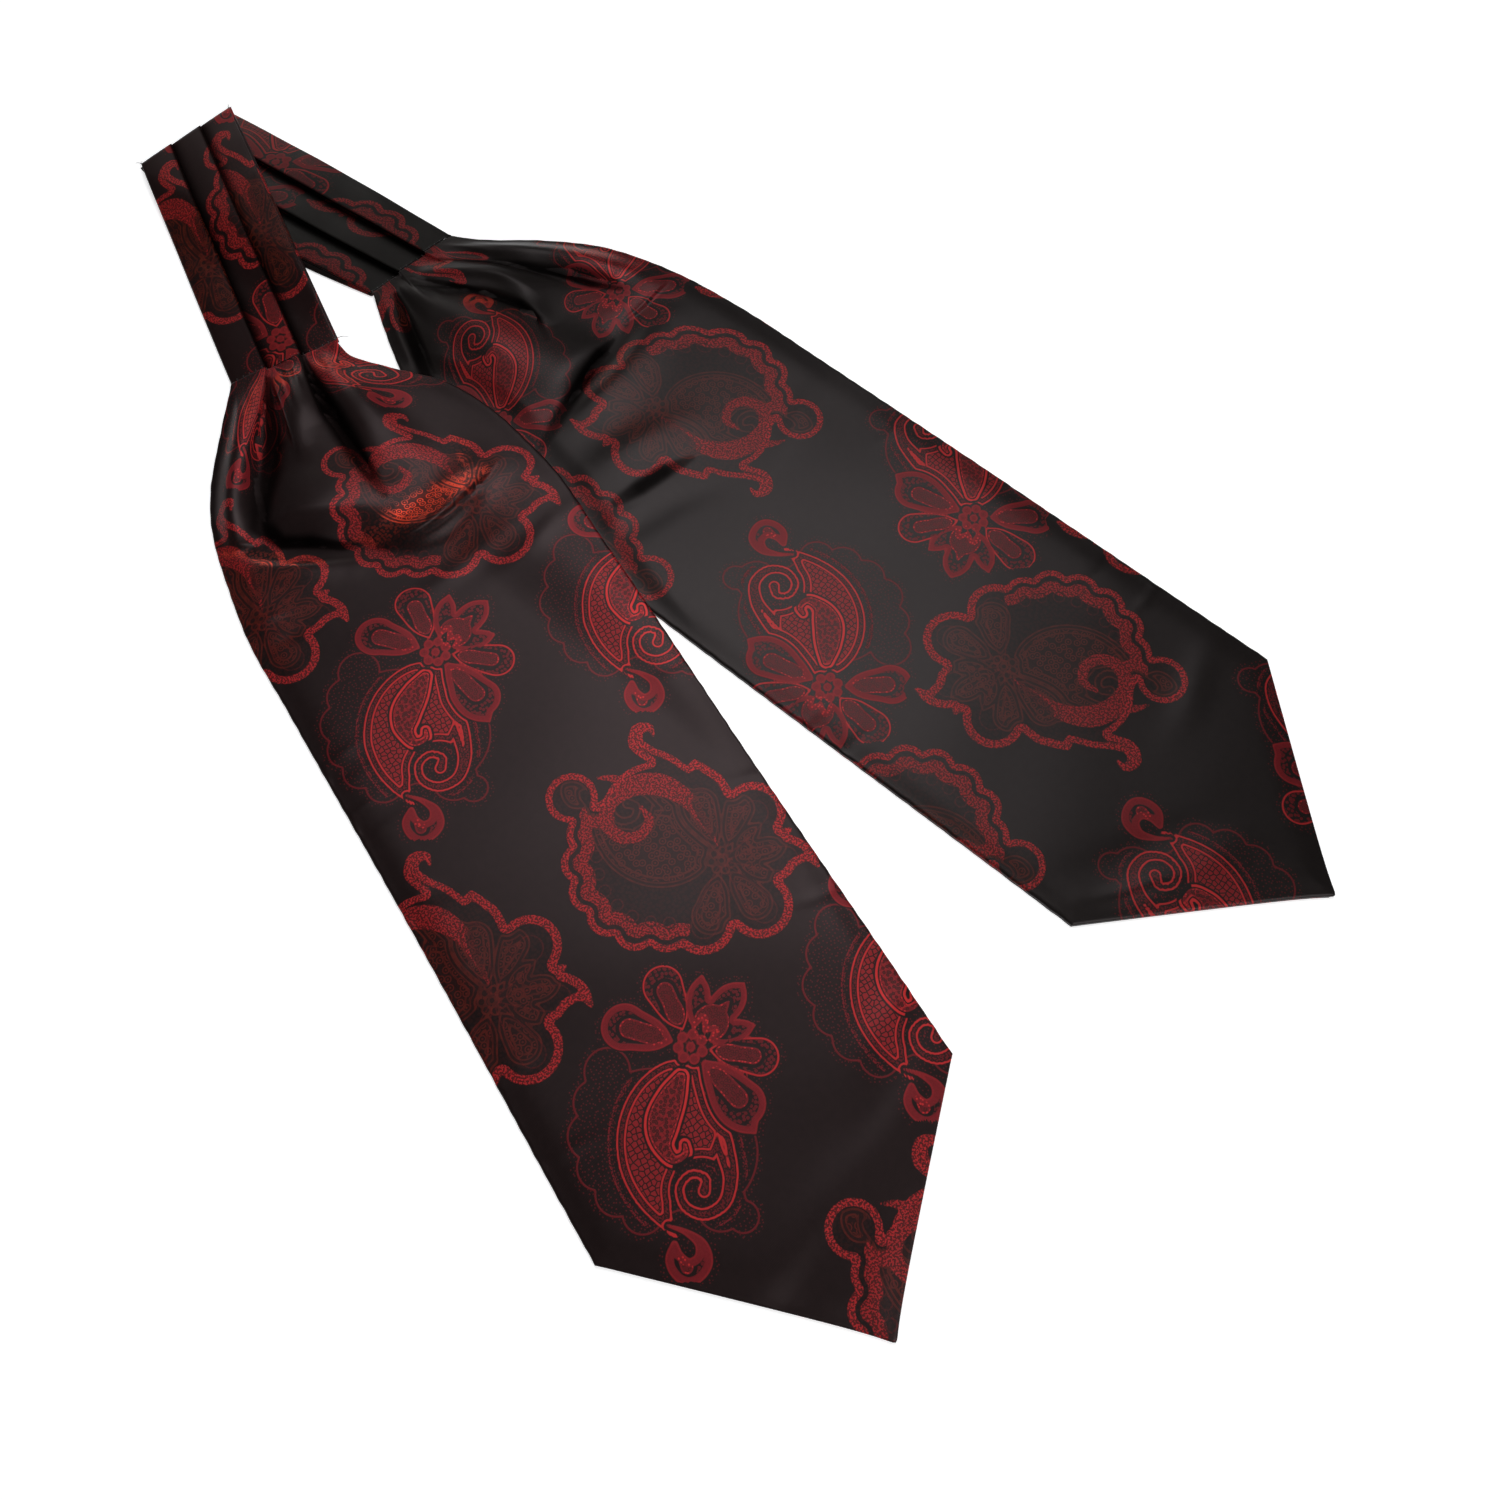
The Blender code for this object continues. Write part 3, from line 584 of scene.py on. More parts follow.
SHADE_CURL = [
    (-1, 5, 0.5), (-7, 16, 1.8), (-15, 26.5, 3.6), (-26, 32, 4.8), (-37, 30.5, 4.2),
    (-44.5, 24, 3.2), (-45.5, 15.5, 2.8), (-39.5, 9.6, 2.6), (-32, 10.6, 2.3), (-28.6, 17, 1.9),
    (-32, 22, 1.0),
]
SHADE_CUSP = [(-38, 32, 2.6), (-45, 34.5, 1.4), (-50, 34.5, 0.5)]
SHADE_HEARTS = [(110.0, 31.0), (56.0, 29.0), (-50.0, 31.0), (-104.0, 32.0), (2.0, 30.0)]
PAISLEY_SIDE = [(-24, 4, 36.0)]  # the disc on which its paisley's band lies
GHOST_TURN = 64.0  # how the bloom lies in it again: degrees turned, and scale
GHOST_SCALE = 0.86
SHADE_RIM = 3.4  # width of the stippled rim round its petals
SCALLOP_RIM = 2.7  # the same on the paisley's side
SHADE_GAP = 1.8  # bare ground between that rim and the band inside it
SHADE_BAND = 5.0
# The chain of medallions along that band: x, y, radius
SHADE_MEDALS = [
    (-20, -25.2, 2.3), (-27.2, -24.6, 2.2), (-34.4, -22.6, 2.4), (-40.4, -18.0, 2.3),
    (-45.4, -12.4, 2.4), (-48.0, -5.6, 2.3), (-49.2, 1.6, 2.4), (-48.4, 8.6, 2.2),
]
FIGURE_SPAN = (-82.0, 50.0, -90.0, 68.0)  # x and y between which the figures are worked out
FIGURE_STEP = 0.4
FAR = 9.0  # mm past which a figure's fields no longer count
DISTANCES = ("figure", "heart", "paisley", "halo", "ghost")  # its fields that are distances
THREAD_SCALE = 0.62

# ---- Colours of the silk and the studio ------------------------------------------------------
# All four are one silk. The left blade's warmer ground and tint, the right blade's cooler, dimmer
# colours and the neckband's darker ground are painted sheen and shade, for how each piece takes the
# light; the turned half-band also shows the silk's back. Each one's highlight colour is the colour
# of its painted highlight.
LEFT_SILK = dict(
    ground=(0.0130, 0.0072, 0.0072), weft=(0.220, 0.0150, 0.0200), thread=(0.64, 0.030, 0.030),
    highlight_colour=(1.0, 0.090, 0.045), tint=(1.0, 0.80, 0.80), gloss=0.27,
)
RIGHT_SILK = dict(
    ground=(0.0085, 0.0066, 0.0062), weft=(0.165, 0.0110, 0.0145), thread=(0.50, 0.026, 0.026),
    highlight_colour=(0.70, 0.070, 0.030), tint=(1.0, 0.88, 0.87), gloss=0.235, dim=0.88,
)
BAND_SILK = dict(
    ground=(0.0110, 0.0042, 0.0042), weft=(0.210, 0.0120, 0.0150), thread=(0.55, 0.028, 0.026),
    highlight_colour=(0.62, 0.075, 0.030), tint=(1.0, 0.76, 0.76),
)
TURNED_SILK = dict(
    ground=(0.0075, 0.0054, 0.0050), weft=(0.130, 0.0090, 0.0120), thread=(0.30, 0.018, 0.017),
    highlight_colour=(0.34, 0.040, 0.020), tint=(0.96, 1.0, 0.96), gloss=0.16, dim=0.85,
)
LOOKS_AT = (0.0339, -0.0580, 0.0)
CAMERA_AWAY = 0.5437
CAMERA_UP = math.radians(69.5)
FLOOR_REACH = 8.0  # from its middle to each side
# Radius and height up the wall behind the floor
WALL_PROFILE = [
    (4.6, 0.001),
    (5.2, 0.03),
    (5.8, 0.15),
    (6.3, 0.45),
    (6.65, 1.0),
    (6.85, 1.9),
    (7.0, 8.0),
]
WALL_TURNS = 64
# Name, place, size, power, colour
LAMPS = [
    ("overhead softbox", (0.05, 0.60, 1.40), 0.8, 8.0, (0.97, 0.98, 1.0)),
    ("front softbox", (0.90, -1.10, 1.40), 1.2, 16.0, (1.0, 1.0, 1.0)),
    ("back softbox", (-0.60, 1.35, 0.50), 0.5, 1.5, (1.0, 0.98, 0.95)),
]


def stations_of(table):
    """How far along its line each row of a table lies."""
    return np.append(0.0, np.cumsum(np.hypot(*np.diff(table[:, :2], axis=0).T)))


def discs_of(rows, samples=48):
    """The discs that fill a stroke: an array of x, y, radius."""
    table = np.array(rows, dtype=float)
    station = stations_of(table)
    at = np.linspace(0.0, station[-1], samples)
    if len(table) > 2:
        return smooth_columns(np.column_stack([station, table]) * 1000.0, at)
    return np.column_stack([np.interp(at, station, column) for column in table.T])


def petal(heading, length, head, foot=0.7, tip=None, start=3.0):
    """The discs of a petal from the flower's heart: narrow there, round or pointed at its end."""
    rows = [(start, foot), (0.42 * length, 0.62 * head), (0.72 * length, 0.96 * head)]
    rows += [(length - head, head)] if tip is None else [(length, tip)]
    turn = math.radians(heading)
    line = [(r * math.cos(turn), r * math.sin(turn), half) for r, half in rows]
    return discs_of(line, 36)


def outside(x, y, discs):
    """How far each place is outside the union of the discs, in mm: below 0 within it."""
    nearest = np.full(x.shape, 1e3)
    for centre_x, centre_y, radius in discs:
        nearest = np.minimum(nearest, np.hypot(x - centre_x, y - centre_y) - radius)
    return nearest


def from_outline(x, y, discs):
    """The same with its true depth inside, measured from the outline of the whole union."""
    discs = np.asarray(discs, dtype=float)
    points = []
    for centre_x, centre_y, radius in discs:
        turn = np.linspace(0, 2 * math.pi, max(8, int(radius * 9)), endpoint=False)
        points.append(
            np.column_stack([centre_x + radius * np.cos(turn), centre_y + radius * np.sin(turn)])
        )
    points = np.vstack(points)
    points = points[outside(points[:, 0], points[:, 1], discs) > -0.06]
    # One point for each spot of the outline is enough.
    spots = np.unique(np.round(points / 0.35).astype(int), axis=0, return_index=True)[1]
    depth = np.full(x.shape, 1e3)
    for point_x, point_y in points[spots]:
        depth = np.minimum(depth, (x - point_x) ** 2 + (y - point_y) ** 2)
    depth = np.sqrt(depth)
    return np.where(outside(x, y, discs) < 0, -depth, depth)


def bloom(x, y):
    """The fields of the flower with its curled paisley."""
    petals, rims, hearts = [], [], []
    for heading, length, head, rim in BLOOM_PETALS:
        petals.append(outside(x, y, petal(heading, length, head, start=PETALS_START)))
        rims.append(rim)
        hearts.append(petal(heading, 0.8 * length, 0.42 * head, 0.3, start=PETALS_START + 2))
    heading, length, head, rim = BLOOM_PETALS[-1]
    cusp = petal(heading - 6, length + PETAL_CUSP, 0.9 * head, 0.7, 0.4, PETALS_START)
    petals[-1] = np.minimum(petals[-1], outside(x, y, cusp))
    lobes = [petal(*row, 0.7, 0.4, PETALS_START) for row in BLOOM_LEAF]
    petals += [from_outline(x, y, np.vstack(lobes)), outside(x, y, discs_of(BLOOM_COMMA))]
    rims += [LEAF_RIM, COMMA_RIM]
    hearts += [petal(*LEAF_HEART, 0.4, 0.4, 9.0), discs_of(COMMA_HEART)]
    for away, heading, radius in ROSETTE:
        turn = math.radians(heading)
        disc = (away * math.cos(turn), away * math.sin(turn), radius)
        petals.append(outside(x, y, [disc]))
        rims.append(ROSETTE_RIM)
        hearts.append([(disc[0], disc[1], 0.35)])
    figure = np.stack(petals)
    rim = np.array(rims)[figure.argmin(axis=0)]
    figure = figure.min(axis=0)
    body = from_outline(x, y, np.vstack([discs_of(BLOOM_BODY), discs_of(BLOOM_SIDE)]))
    eye = outside(x, y, [CURL_EYE])
    body = np.minimum(np.maximum(body, -eye), outside(x, y, discs_of(BLOOM_CURL)))
    heart = outside(x, y, np.vstack(hearts + [discs_of(BLOOM_HEART)]))
    return {
        "ghost": np.full(x.shape, FAR),
        "figure": figure,
        "heart": heart,
        "paisley": np.maximum(body, 0.9 - figure),
        "halo": outside(x, y, BLOOM_SCALLOPS),
        "rim": rim,
    }


def shade(x, y):
    """The fields of the same flower as a stippled outline."""
    points = [discs_of(rows) for rows in SHADE_POINTS]
    petals = np.vstack([SHADE_PETALS] + points)
    scallops = np.array(SHADE_SCALLOPS + SHADE_LOBE)
    depth = from_outline(x, y, np.vstack([petals, scallops, discs_of(SHADE_HOOK)]))
    on_petals = outside(x, y, petals) < outside(x, y, scallops)
    rim = np.where(on_petals, SHADE_RIM, SCALLOP_RIM)
    curl = outside(x, y, np.vstack([discs_of(SHADE_CURL), discs_of(SHADE_CUSP)]))
    # The band inside the scallops' rim, on the paisley's side alone.
    start = SCALLOP_RIM + SHADE_GAP
    band = np.abs(depth + start + SHADE_BAND / 2) - SHADE_BAND / 2
    side = np.maximum(outside(x, y, PAISLEY_SIDE), np.maximum(x + 12, 0.35 * x + y - 3))
    band = np.maximum(band, side)
    hearts = np.vstack([petal(*row, 5.0) for row in SHADE_HEARTS])
    # The bloom again within it, turned over and round: it shows where the silk catches light.
    turn = math.radians(GHOST_TURN)
    turned_x = (x * math.cos(turn) + y * math.sin(turn)) / GHOST_SCALE
    turned_y = (x * math.sin(turn) - y * math.cos(turn)) / GHOST_SCALE
    again = bloom(turned_x, turned_y)
    ghost = np.minimum(again["paisley"], np.minimum(again["figure"], again["heart"]))
    return {
        "ghost": np.maximum(ghost, depth + rim + 0.8),
        "figure": depth,
        "heart": np.minimum(outside(x, y, hearts), outside(x, y, SHADE_MEDALS)),
        "paisley": np.minimum(curl, band),
        "halo": np.full(x.shape, FAR),
        "rim": rim,
    }


# ---- Form of the cloth -----------------------------------------------------------------------
def place(side, along, across):
    """World x and y of a place in a blade's own frame."""
    cos, sin = math.cos(side.angle), math.sin(side.angle)
    return side.tip[0] + along * cos + across * sin, side.tip[1] + along * sin - across * cos


def smooth_columns(rows, at):
    """The columns of a table, in mm, read between its rows by a smooth curve, in metres."""
    table = np.array(rows) / 1000.0
    x, values = table[:, 0], table[:, 1:]
    slopes = np.gradient(values, x, axis=0)
    k = np.clip(np.searchsorted(x, at) - 1, 0, len(x) - 2)
    step = (x[k + 1] - x[k])[:, None]
    t = ((at - x[k]) / (x[k + 1] - x[k]))[:, None]
    start = (1 + 2 * t) * (1 - t) ** 2 * values[k] + t * (1 - t) ** 2 * step * slopes[k]
    end = t**2 * (3 - 2 * t) * values[k + 1] + t**2 * (t - 1) * step * slopes[k + 1]
    return start + end


def v_side(across, slopes):
    """Along of a blade's V at a place across it."""
    out = np.sqrt(across**2 + V_ROUNDING**2)
    slope = np.where(across < 0, slopes[0], slopes[1])
    return slope * out + V_DRAWN_IN * out / (out + V_SPAN)


def outline(grid):
    """The closed outline of a grid's border, as an array of points."""
    x, y = grid
    border = [(x[0], y[0]), (x[1:, -1], y[1:, -1])]
    border += [(x[-1, -2::-1], y[-1, -2::-1]), (x[-2:0:-1, 0], y[-2:0:-1, 0])]
    return np.vstack([np.column_stack(side) for side in border])


def distance_outside(corners, x, y):
    """How far each place is outside a closed outline, 0 within it."""
    start, end = corners, np.roll(corners, -1, axis=0)
    run = end - start
    px, py = x[..., None] - start[:, 0], y[..., None] - start[:, 1]
    t = np.clip((px * run[:, 0] + py * run[:, 1]) / (run**2).sum(axis=1), 0, 1)
    nearest = np.hypot(px - t * run[:, 0], py - t * run[:, 1]).min(axis=-1)
    crosses = (start[:, 1] > y[..., None]) != (end[:, 1] > y[..., None])
    rise = np.where(run[:, 1] == 0, 1.0, run[:, 1])
    hit = crosses & (px < py * run[:, 0] / rise)
    return np.where(hit.sum(axis=-1) % 2 == 1, 0.0, nearest)


def walked(line, count):
    """A line's evenly spaced samples, the direction at each and the step between, in metres."""
    rows = np.array(line, dtype=float) / 1000.0
    station = stations_of(rows)
    samples = np.linspace(0.0, station[-1], count)
    points = smooth_columns(np.column_stack([station, rows]) * 1000.0, samples)
    runs = np.gradient(points[:, :2], axis=0)
    return points, runs / np.hypot(*runs.T)[:, None], samples[1] - samples[0]


def fold_rise(line, along, across):
    """Height that one fold adds: full on its line, less beside it and past its ends.

    Each of the line's samples has its own height and reach, and they are mixed by how near
    they are, so that the cloth stays smooth where the line bends.
    """
    points, runs, _ = walked(line, FOLD_SAMPLES)
    total = np.zeros(along.shape)
    weights = np.full(along.shape, 1e-30)
    for (x, y, rise, left, right), (run_x, run_y) in zip(points, runs):
        away = np.hypot(along - x, across - y) + 1e-9
        rightward = ((across - y) * run_x - (along - x) * run_y) / away
        reach = (left + right) / 2 + rightward * (right - left) / 2
        sharp = 2.0 if rise > 0 else CREASE_SHARPNESS
        near = np.exp(-((away / reach) ** 2))
        total += rise * np.exp(-((away / reach) ** sharp)) * near**5
        weights += near**5
    return total / weights


def soft_floor(height, softness=0.0006):
    """Height kept above 0 without a hard edge."""
    return 0.5 * (height + np.sqrt(height**2 + softness**2)) - 0.5 * softness


def smooth_step(t):
    """0 to 1 with no corner at either end."""
    return t * t * (3 - 2 * t)


def blade_grid(side, across_share, v_rows, plain_rows, gather_rows):
    """Along and across of a blade's grid: rows from the V to the neck, finer by the gathers."""
    neck = side.sections[-1][0] / 1000.0
    plain = np.linspace(FLARE_END, GATHERS_START, plain_rows, endpoint=False)
    stations = np.append(plain, np.linspace(GATHERS_START, neck, gather_rows + 1))
    lean, left, right = smooth_columns(side.sections, stations).T
    across = left[:, None] + across_share * (right - left)[:, None]
    along = stations[:, None] + (0.5 - across_share) * lean[:, None]
    v_across = across[0]
    v_edge = v_side(v_across, side.slopes)
    blend = np.append(NEAR_V, np.linspace(0.020, 1.0, v_rows, endpoint=False))[:, None]
    along = np.vstack([(1 - blend) * v_edge + blend * FLARE_END, along])
    across = np.vstack([np.repeat(v_across[None], len(blend), axis=0), across])
    return along, across


def shares(columns, width):
    """Shares across a row: even, and closer by each sewn edge."""
    near = np.array(NEAR_EDGE[:-1]) / 1000.0 / width
    start = NEAR_EDGE[-1] / 1000.0 / width
    return np.concatenate([near, np.linspace(start, 1 - start, columns), 1 - near[::-1]])


def edge_distance(along, across):
    """How far each place is from the blade's sewn edges, its neck seam apart."""
    side = np.minimum(across - across[:, :1], across[:, -1:] - across)
    return np.minimum(side, (along - along[0]) / math.sqrt(2))


def crease_rise(along, across, rows):
    """Height of the small creases, each bent a little."""
    total = np.zeros(along.shape)
    for row in rows:
        at_along, at_across, heading, length, half, rise = np.array(row) / 1000.0
        turn = math.radians(heading * 1000.0)
        run = (along - at_along) * math.cos(turn) + (across - at_across) * math.sin(turn)
        off = -(along - at_along) * math.sin(turn) + (across - at_across) * math.cos(turn)
        off = off - CREASE_BEND * run * np.abs(run) / length
        total += rise * np.exp(-((run / length) ** 2)) * np.exp(-((off / half) ** 2))
    return total


def tuck_rise(line, along, across):
    """Height of one tuck: it is worked out only for places near its line."""
    points, runs, gap = walked(line, 2 * FOLD_SAMPLES)
    middle_along, middle_across = np.array(line, dtype=float)[:, :2].mean(axis=0) / 1000.0
    near = (np.abs(along - middle_along) < TUCK_SPAN) & (np.abs(across - middle_across) < TUCK_SPAN)
    off_along = along[near][:, None] - points[:, 0]
    off_across = across[near][:, None] - points[:, 1]
    closest = np.hypot(off_along, off_across).argmin(axis=1)
    pick = np.arange(len(closest))
    off_along, off_across = off_along[pick, closest], off_across[pick, closest]
    run_along, run_across = runs[closest].T
    aside = off_across * run_along - off_along * run_across
    past = off_along * run_along + off_across * run_across
    slopes = np.gradient(points[:, 2:5], axis=0) / gap
    onward = np.clip(past, -gap, gap)[:, None] * slopes[closest]
    rise, reach, drop = (points[closest, 2:5] + onward).T
    step = smooth_step(np.clip(0.5 + aside / np.maximum(drop, LEAST_DROP), 0, 1))
    behind = np.exp(-((np.maximum(aside, 0) / reach) ** 2)) * np.exp(-((past / TUCK_END) ** 2))
    total = np.zeros(along.shape)
    total[near] = np.maximum(rise, 0) * step * behind
    return total


def gather_rise(along, across, rows):
    """Height of the fine gathers at the neck seam."""
    total = np.zeros(along.shape)
    for at_seam, at_end, length, rise, half in rows:
        t = np.clip((along[-1:] - along) * 1000.0 / length, 0, 1.5)
        middle = at_seam + (at_end - at_seam) * t**0.8
        off = (across * 1000.0 - middle) / (half * (0.6 + 0.9 * t))
        fade = np.clip(t / 0.12, 0, 1) * np.exp(-((t / 0.75) ** 4))
        total += rise / 1000.0 * np.exp(-(off**2)) * fade
    return total


def wave_rise(along, across, rows):
    """Height of the slow undulations of cloth that lies unpressed."""
    total = np.zeros(along.shape)
    for length, width, phase, rise in rows:
        wave = 2 * math.pi * (along * 1000.0 / length + across * 1000.0 / width) + phase
        bent = wave + 0.6 * np.sin(across * 21.0 + phase)
        total += rise / 1000.0 * (0.5 + 0.5 * np.sin(bent))
    return total


def pleat_top(share, pleats):
    """Height of the neckband's top at a share of its width, by its pleats."""
    height = np.zeros(share.shape)
    for start, end, low, high in pleats:
        here = (share >= start) & (share <= end)
        t = np.clip((share - start) / (end - start), 0, 1)
        t = t**PLEAT_HOLLOW if high > low else 1 - (1 - t) ** PLEAT_HOLLOW
        height = np.where(here, (low + t * (high - low)) / 1000.0, height)
    return height


def puff(side, along, across, share):
    """How far a front panel stands off its back."""
    rise = sum(fold_rise(line, along, across) for line in side.folds.values())
    rise += sum(tuck_rise(line, along, across) for line in side.tucks.values())
    rise += gather_rise(along, across, side.gathers)
    edge = edge_distance(along, across)
    small = crease_rise(along, across, side.creases)
    by_edge = 1 - np.exp(-((edge / EDGE_EASE) ** 2))
    slow = wave_rise(along, across, side.waves) * (WAVES_AT_EDGE + (1 - WAVES_AT_EDGE) * by_edge)
    rise = soft_floor(rise + LOFT + small * by_edge) * by_edge + slow
    at_edge = np.maximum(small, -DEEPEST_AT_EDGE) * (1 - by_edge)
    rise = rise + at_edge * np.clip(edge / EDGE_HELD, 0, 1)
    neck = pleat_top(share, side.pleats) - (2 * WALL + LAYER_GAP)
    hold = np.exp(-(((along[-1] - along) / NECK_EASE) ** 2))
    return rise * (1 - hold) + np.maximum(neck, 0) * hold


def mirrored(pleats):
    """The same pleats counted from the other side of the band."""
    return [(1 - end, 1 - start, high, low) for start, end, low, high in pleats[::-1]]


def over(corners, x, y, height, drape=DRAPE):
    """Height at which cloth rests on what lies under it, easing down to the surface."""
    away = distance_outside(corners, np.asarray(x, dtype=float), np.asarray(y, dtype=float))
    t = np.clip((away - DRAPE_START) / drape, 0, 1)
    return height * (1 - smooth_step(t))


def lifted(beneath, x, y, drape=DRAPE):
    """How far a blade is lifted by the one beneath it, if there is one."""
    if beneath is None:
        return np.zeros(x.shape)
    return over(beneath, x, y, 2 * (WALL + LAYER_GAP), drape)


def freedom(covering, x, y):
    """How freely a blade puffs up, from 0, where the blade that covers it presses it flat."""
    if covering is None:
        return 1.0
    return smooth_step(np.clip(distance_outside(covering, x, y) / FREE_AT, 0, 1))


def puckered(along, across, seed):
    """Small shifts of a blade's sewn edges, in the direction across it."""
    side = np.minimum(across - across[:, :1], across[:, -1:] - across)
    near = np.exp(-((side / SEAM_EASE) ** 2))
    wave = sum(
        np.sin(along / length * 2 * math.pi + seed * (k + 1.7)) / (k + 1.0)
        for k, length in enumerate(PUCKER_LENGTHS)
    )
    return PUCKER * wave * near


def swallow_weight(along, across, lines):
    """How much cloth a place takes up below the neck: most in the pleats' valleys."""
    weight = np.full(along.shape, EVEN_SQUEEZE)
    for line, share in lines:
        stations, middle = np.array(line).T / 1000.0
        off = across - np.interp(along, stations, middle)
        weight = weight + share * np.exp(-((off / SWALLOW_WIDTH) ** 2))
    return weight


def cloth_across(across, z, weight, start):
    """Where each place lies across the flat cloth, in mm: folds swallow what a row lacks."""
    run = np.hypot(np.diff(across, axis=1), np.diff(z, axis=1))
    flat = across[:1, -1:] - across[:1, :1]
    missing = np.maximum(flat - run.sum(axis=1, keepdims=True), 0.0)
    weight = weight[:, 1:] * np.diff(across, axis=1)
    weight = weight / weight.sum(axis=1, keepdims=True)
    steps = run + missing * weight
    return start + np.hstack([np.zeros((len(across), 1)), np.cumsum(steps, axis=1)]) * 1000.0


def dragged(along, across, rows):
    """Places on the flat cloth, in mm, where its gathers drag it out of the straight."""
    for at_along, at_across, radius, by_along, by_across, turn, crowd in rows:
        off_along, off_across = along - at_along, across - at_across
        near = np.exp(-((np.hypot(off_along, off_across) / radius) ** 4))
        angle = math.radians(turn) * near
        scale = 1 + (crowd - 1) * near
        cos, sin = scale * np.cos(angle) - 1, scale * np.sin(angle)
        along = along + off_along * cos - off_across * sin + by_along * near
        across = across + off_along * sin + off_across * cos + by_across * near
    return along, across


# ---- Meshes ----------------------------------------------------------------------------------
def add_mesh(name, vertices, faces, material):
    """A mesh object in the scene, with one material."""
    mesh = bpy.data.meshes.new(name)
    mesh.from_pydata(vertices, [], faces)
    mesh.materials.append(material)
    mesh.update()
    piece = bpy.data.objects.new(name, mesh)
    bpy.context.scene.collection.objects.link(piece)
    return piece


def face_outwards(mesh):
    """Turn the faces of a closed mesh so that all look outwards."""
    shape = bmesh.new()
    shape.from_mesh(mesh)
    bmesh.ops.recalc_face_normals(shape, faces=shape.faces[:])
    shape.to_mesh(mesh)
    shape.free()


def marks(count, step):
    """Every so many of a row's places, and its last."""
    return sorted({*range(0, count, step), count - 1})


def underside(number, below, row_marks, column_marks):
    """The plain faces under a shell, which have all of its border's points."""
    rows, columns = number.shape
    faces = []
    for r0, r1 in zip(row_marks[:-1], row_marks[1:]):
        for c0, c1 in zip(column_marks[:-1], column_marks[1:]):
            first = range(c0, c1) if r0 == 0 else [c0]
            right = range(r0, r1) if c1 == columns - 1 else [r0]
            last = range(c1, c0, -1) if r1 == rows - 1 else [c1]
            left = range(r1, r0, -1) if c0 == 0 else [r1]
            loop = [number[r0, c] for c in first] + [number[r, c1] for r in right]
            loop += [number[r1, c] for c in last] + [number[r, c0] for r in left]
            faces.append([int(below[k]) for k in loop[::-1]])
    return faces


def shell(name, x, y, top, cloth, fields, material):
    """A closed wall of cloth: a fine face above, a plainer one beneath, joined at the border.

    cloth holds where each place lies on the flat cloth, along and across in mm.
    """
    rows, columns = x.shape
    number = np.arange(rows * columns).reshape(rows, columns)
    quads = np.stack([number[:-1, :-1], number[:-1, 1:], number[1:, 1:], number[1:, :-1]], -1)
    quads = quads.reshape(-1, 4)
    border = np.concatenate([number[0], number[1:, -1], number[-1, -2::-1], number[-2:0:-1, 0]])
    row_marks, column_marks = marks(rows, COARSE), marks(columns, COARSE)
    kept = np.zeros(rows * columns, dtype=bool)
    kept[border] = True
    kept[number[np.ix_(row_marks, column_marks)].ravel()] = True
    below = np.full(rows * columns, -1)
    below[kept] = rows * columns + np.arange(kept.sum())
    under_faces = underside(number, below, row_marks, column_marks)
    after = np.roll(border, -1)
    sides = np.stack([border, below[border], below[after], after], -1)
    points = np.stack([x, y, top], -1).reshape(-1, 3)
    vertices = np.vstack([points, points[kept] - [0, 0, CLOTH]])
    a, b, c = points[quads[len(quads) // 2][:3]]
    if np.cross(b - a, c - a)[2] < 0:
        quads, sides = quads[:, ::-1], sides[:, ::-1]
        under_faces = [face[::-1] for face in under_faces]
    faces = quads.tolist() + sides.tolist() + under_faces
    piece = add_mesh(name, vertices.tolist(), faces, material)
    source = np.concatenate([np.arange(rows * columns), np.flatnonzero(kept)])
    dress(piece.data, cloth, fields, source)
    return piece


def dress(mesh, cloth, fields, source):
    """Give a mesh its place on the flat cloth as a UV map, in decimetres, and its figures."""
    along, across = (part.ravel()[source] for part in cloth)
    corner = np.empty(len(mesh.loops), dtype=np.int32)
    mesh.loops.foreach_get("vertex_index", corner)
    layer = mesh.uv_layers.new(name="cloth")
    layer.data.foreach_set("uv", np.column_stack([across[corner], along[corner]]).ravel() / 100.0)
    for name, values in fields.items():
        attribute = mesh.attributes.new(name, "FLOAT", "POINT")
        attribute.data.foreach_set("value", values.ravel()[source].astype(np.float32))
    mesh.shade_smooth()


# ---- What the weave shows where ---------------------------------------------------------------
class Figure:
    """A figure of the weave, worked out once on its own flat grid and then read anywhere."""

    def __init__(self, draw):
        x0, x1, y0, y1 = FIGURE_SPAN
        x = np.arange(x0, x1, FIGURE_STEP)
        y = np.arange(y0, y1, FIGURE_STEP)
        self.fields = draw(*np.meshgrid(x, y))
        self.shape = (len(y), len(x))

    def read(self, x, y):
        """Its fields at any places of its own frame, mixed between the grid's points."""
        u = np.clip((x - FIGURE_SPAN[0]) / FIGURE_STEP, 0, self.shape[1] - 1.001)
        v = np.clip((y - FIGURE_SPAN[2]) / FIGURE_STEP, 0, self.shape[0] - 1.001)
        i, j = v.astype(int), u.astype(int)
        s, t = v - i, u - j
        out = {}
        for name, grid in self.fields.items():
            low = grid[i, j] * (1 - t) + grid[i, j + 1] * t
            high = grid[i + 1, j] * (1 - t) + grid[i + 1, j + 1] * t
            out[name] = low * (1 - s) + high * s
        return out


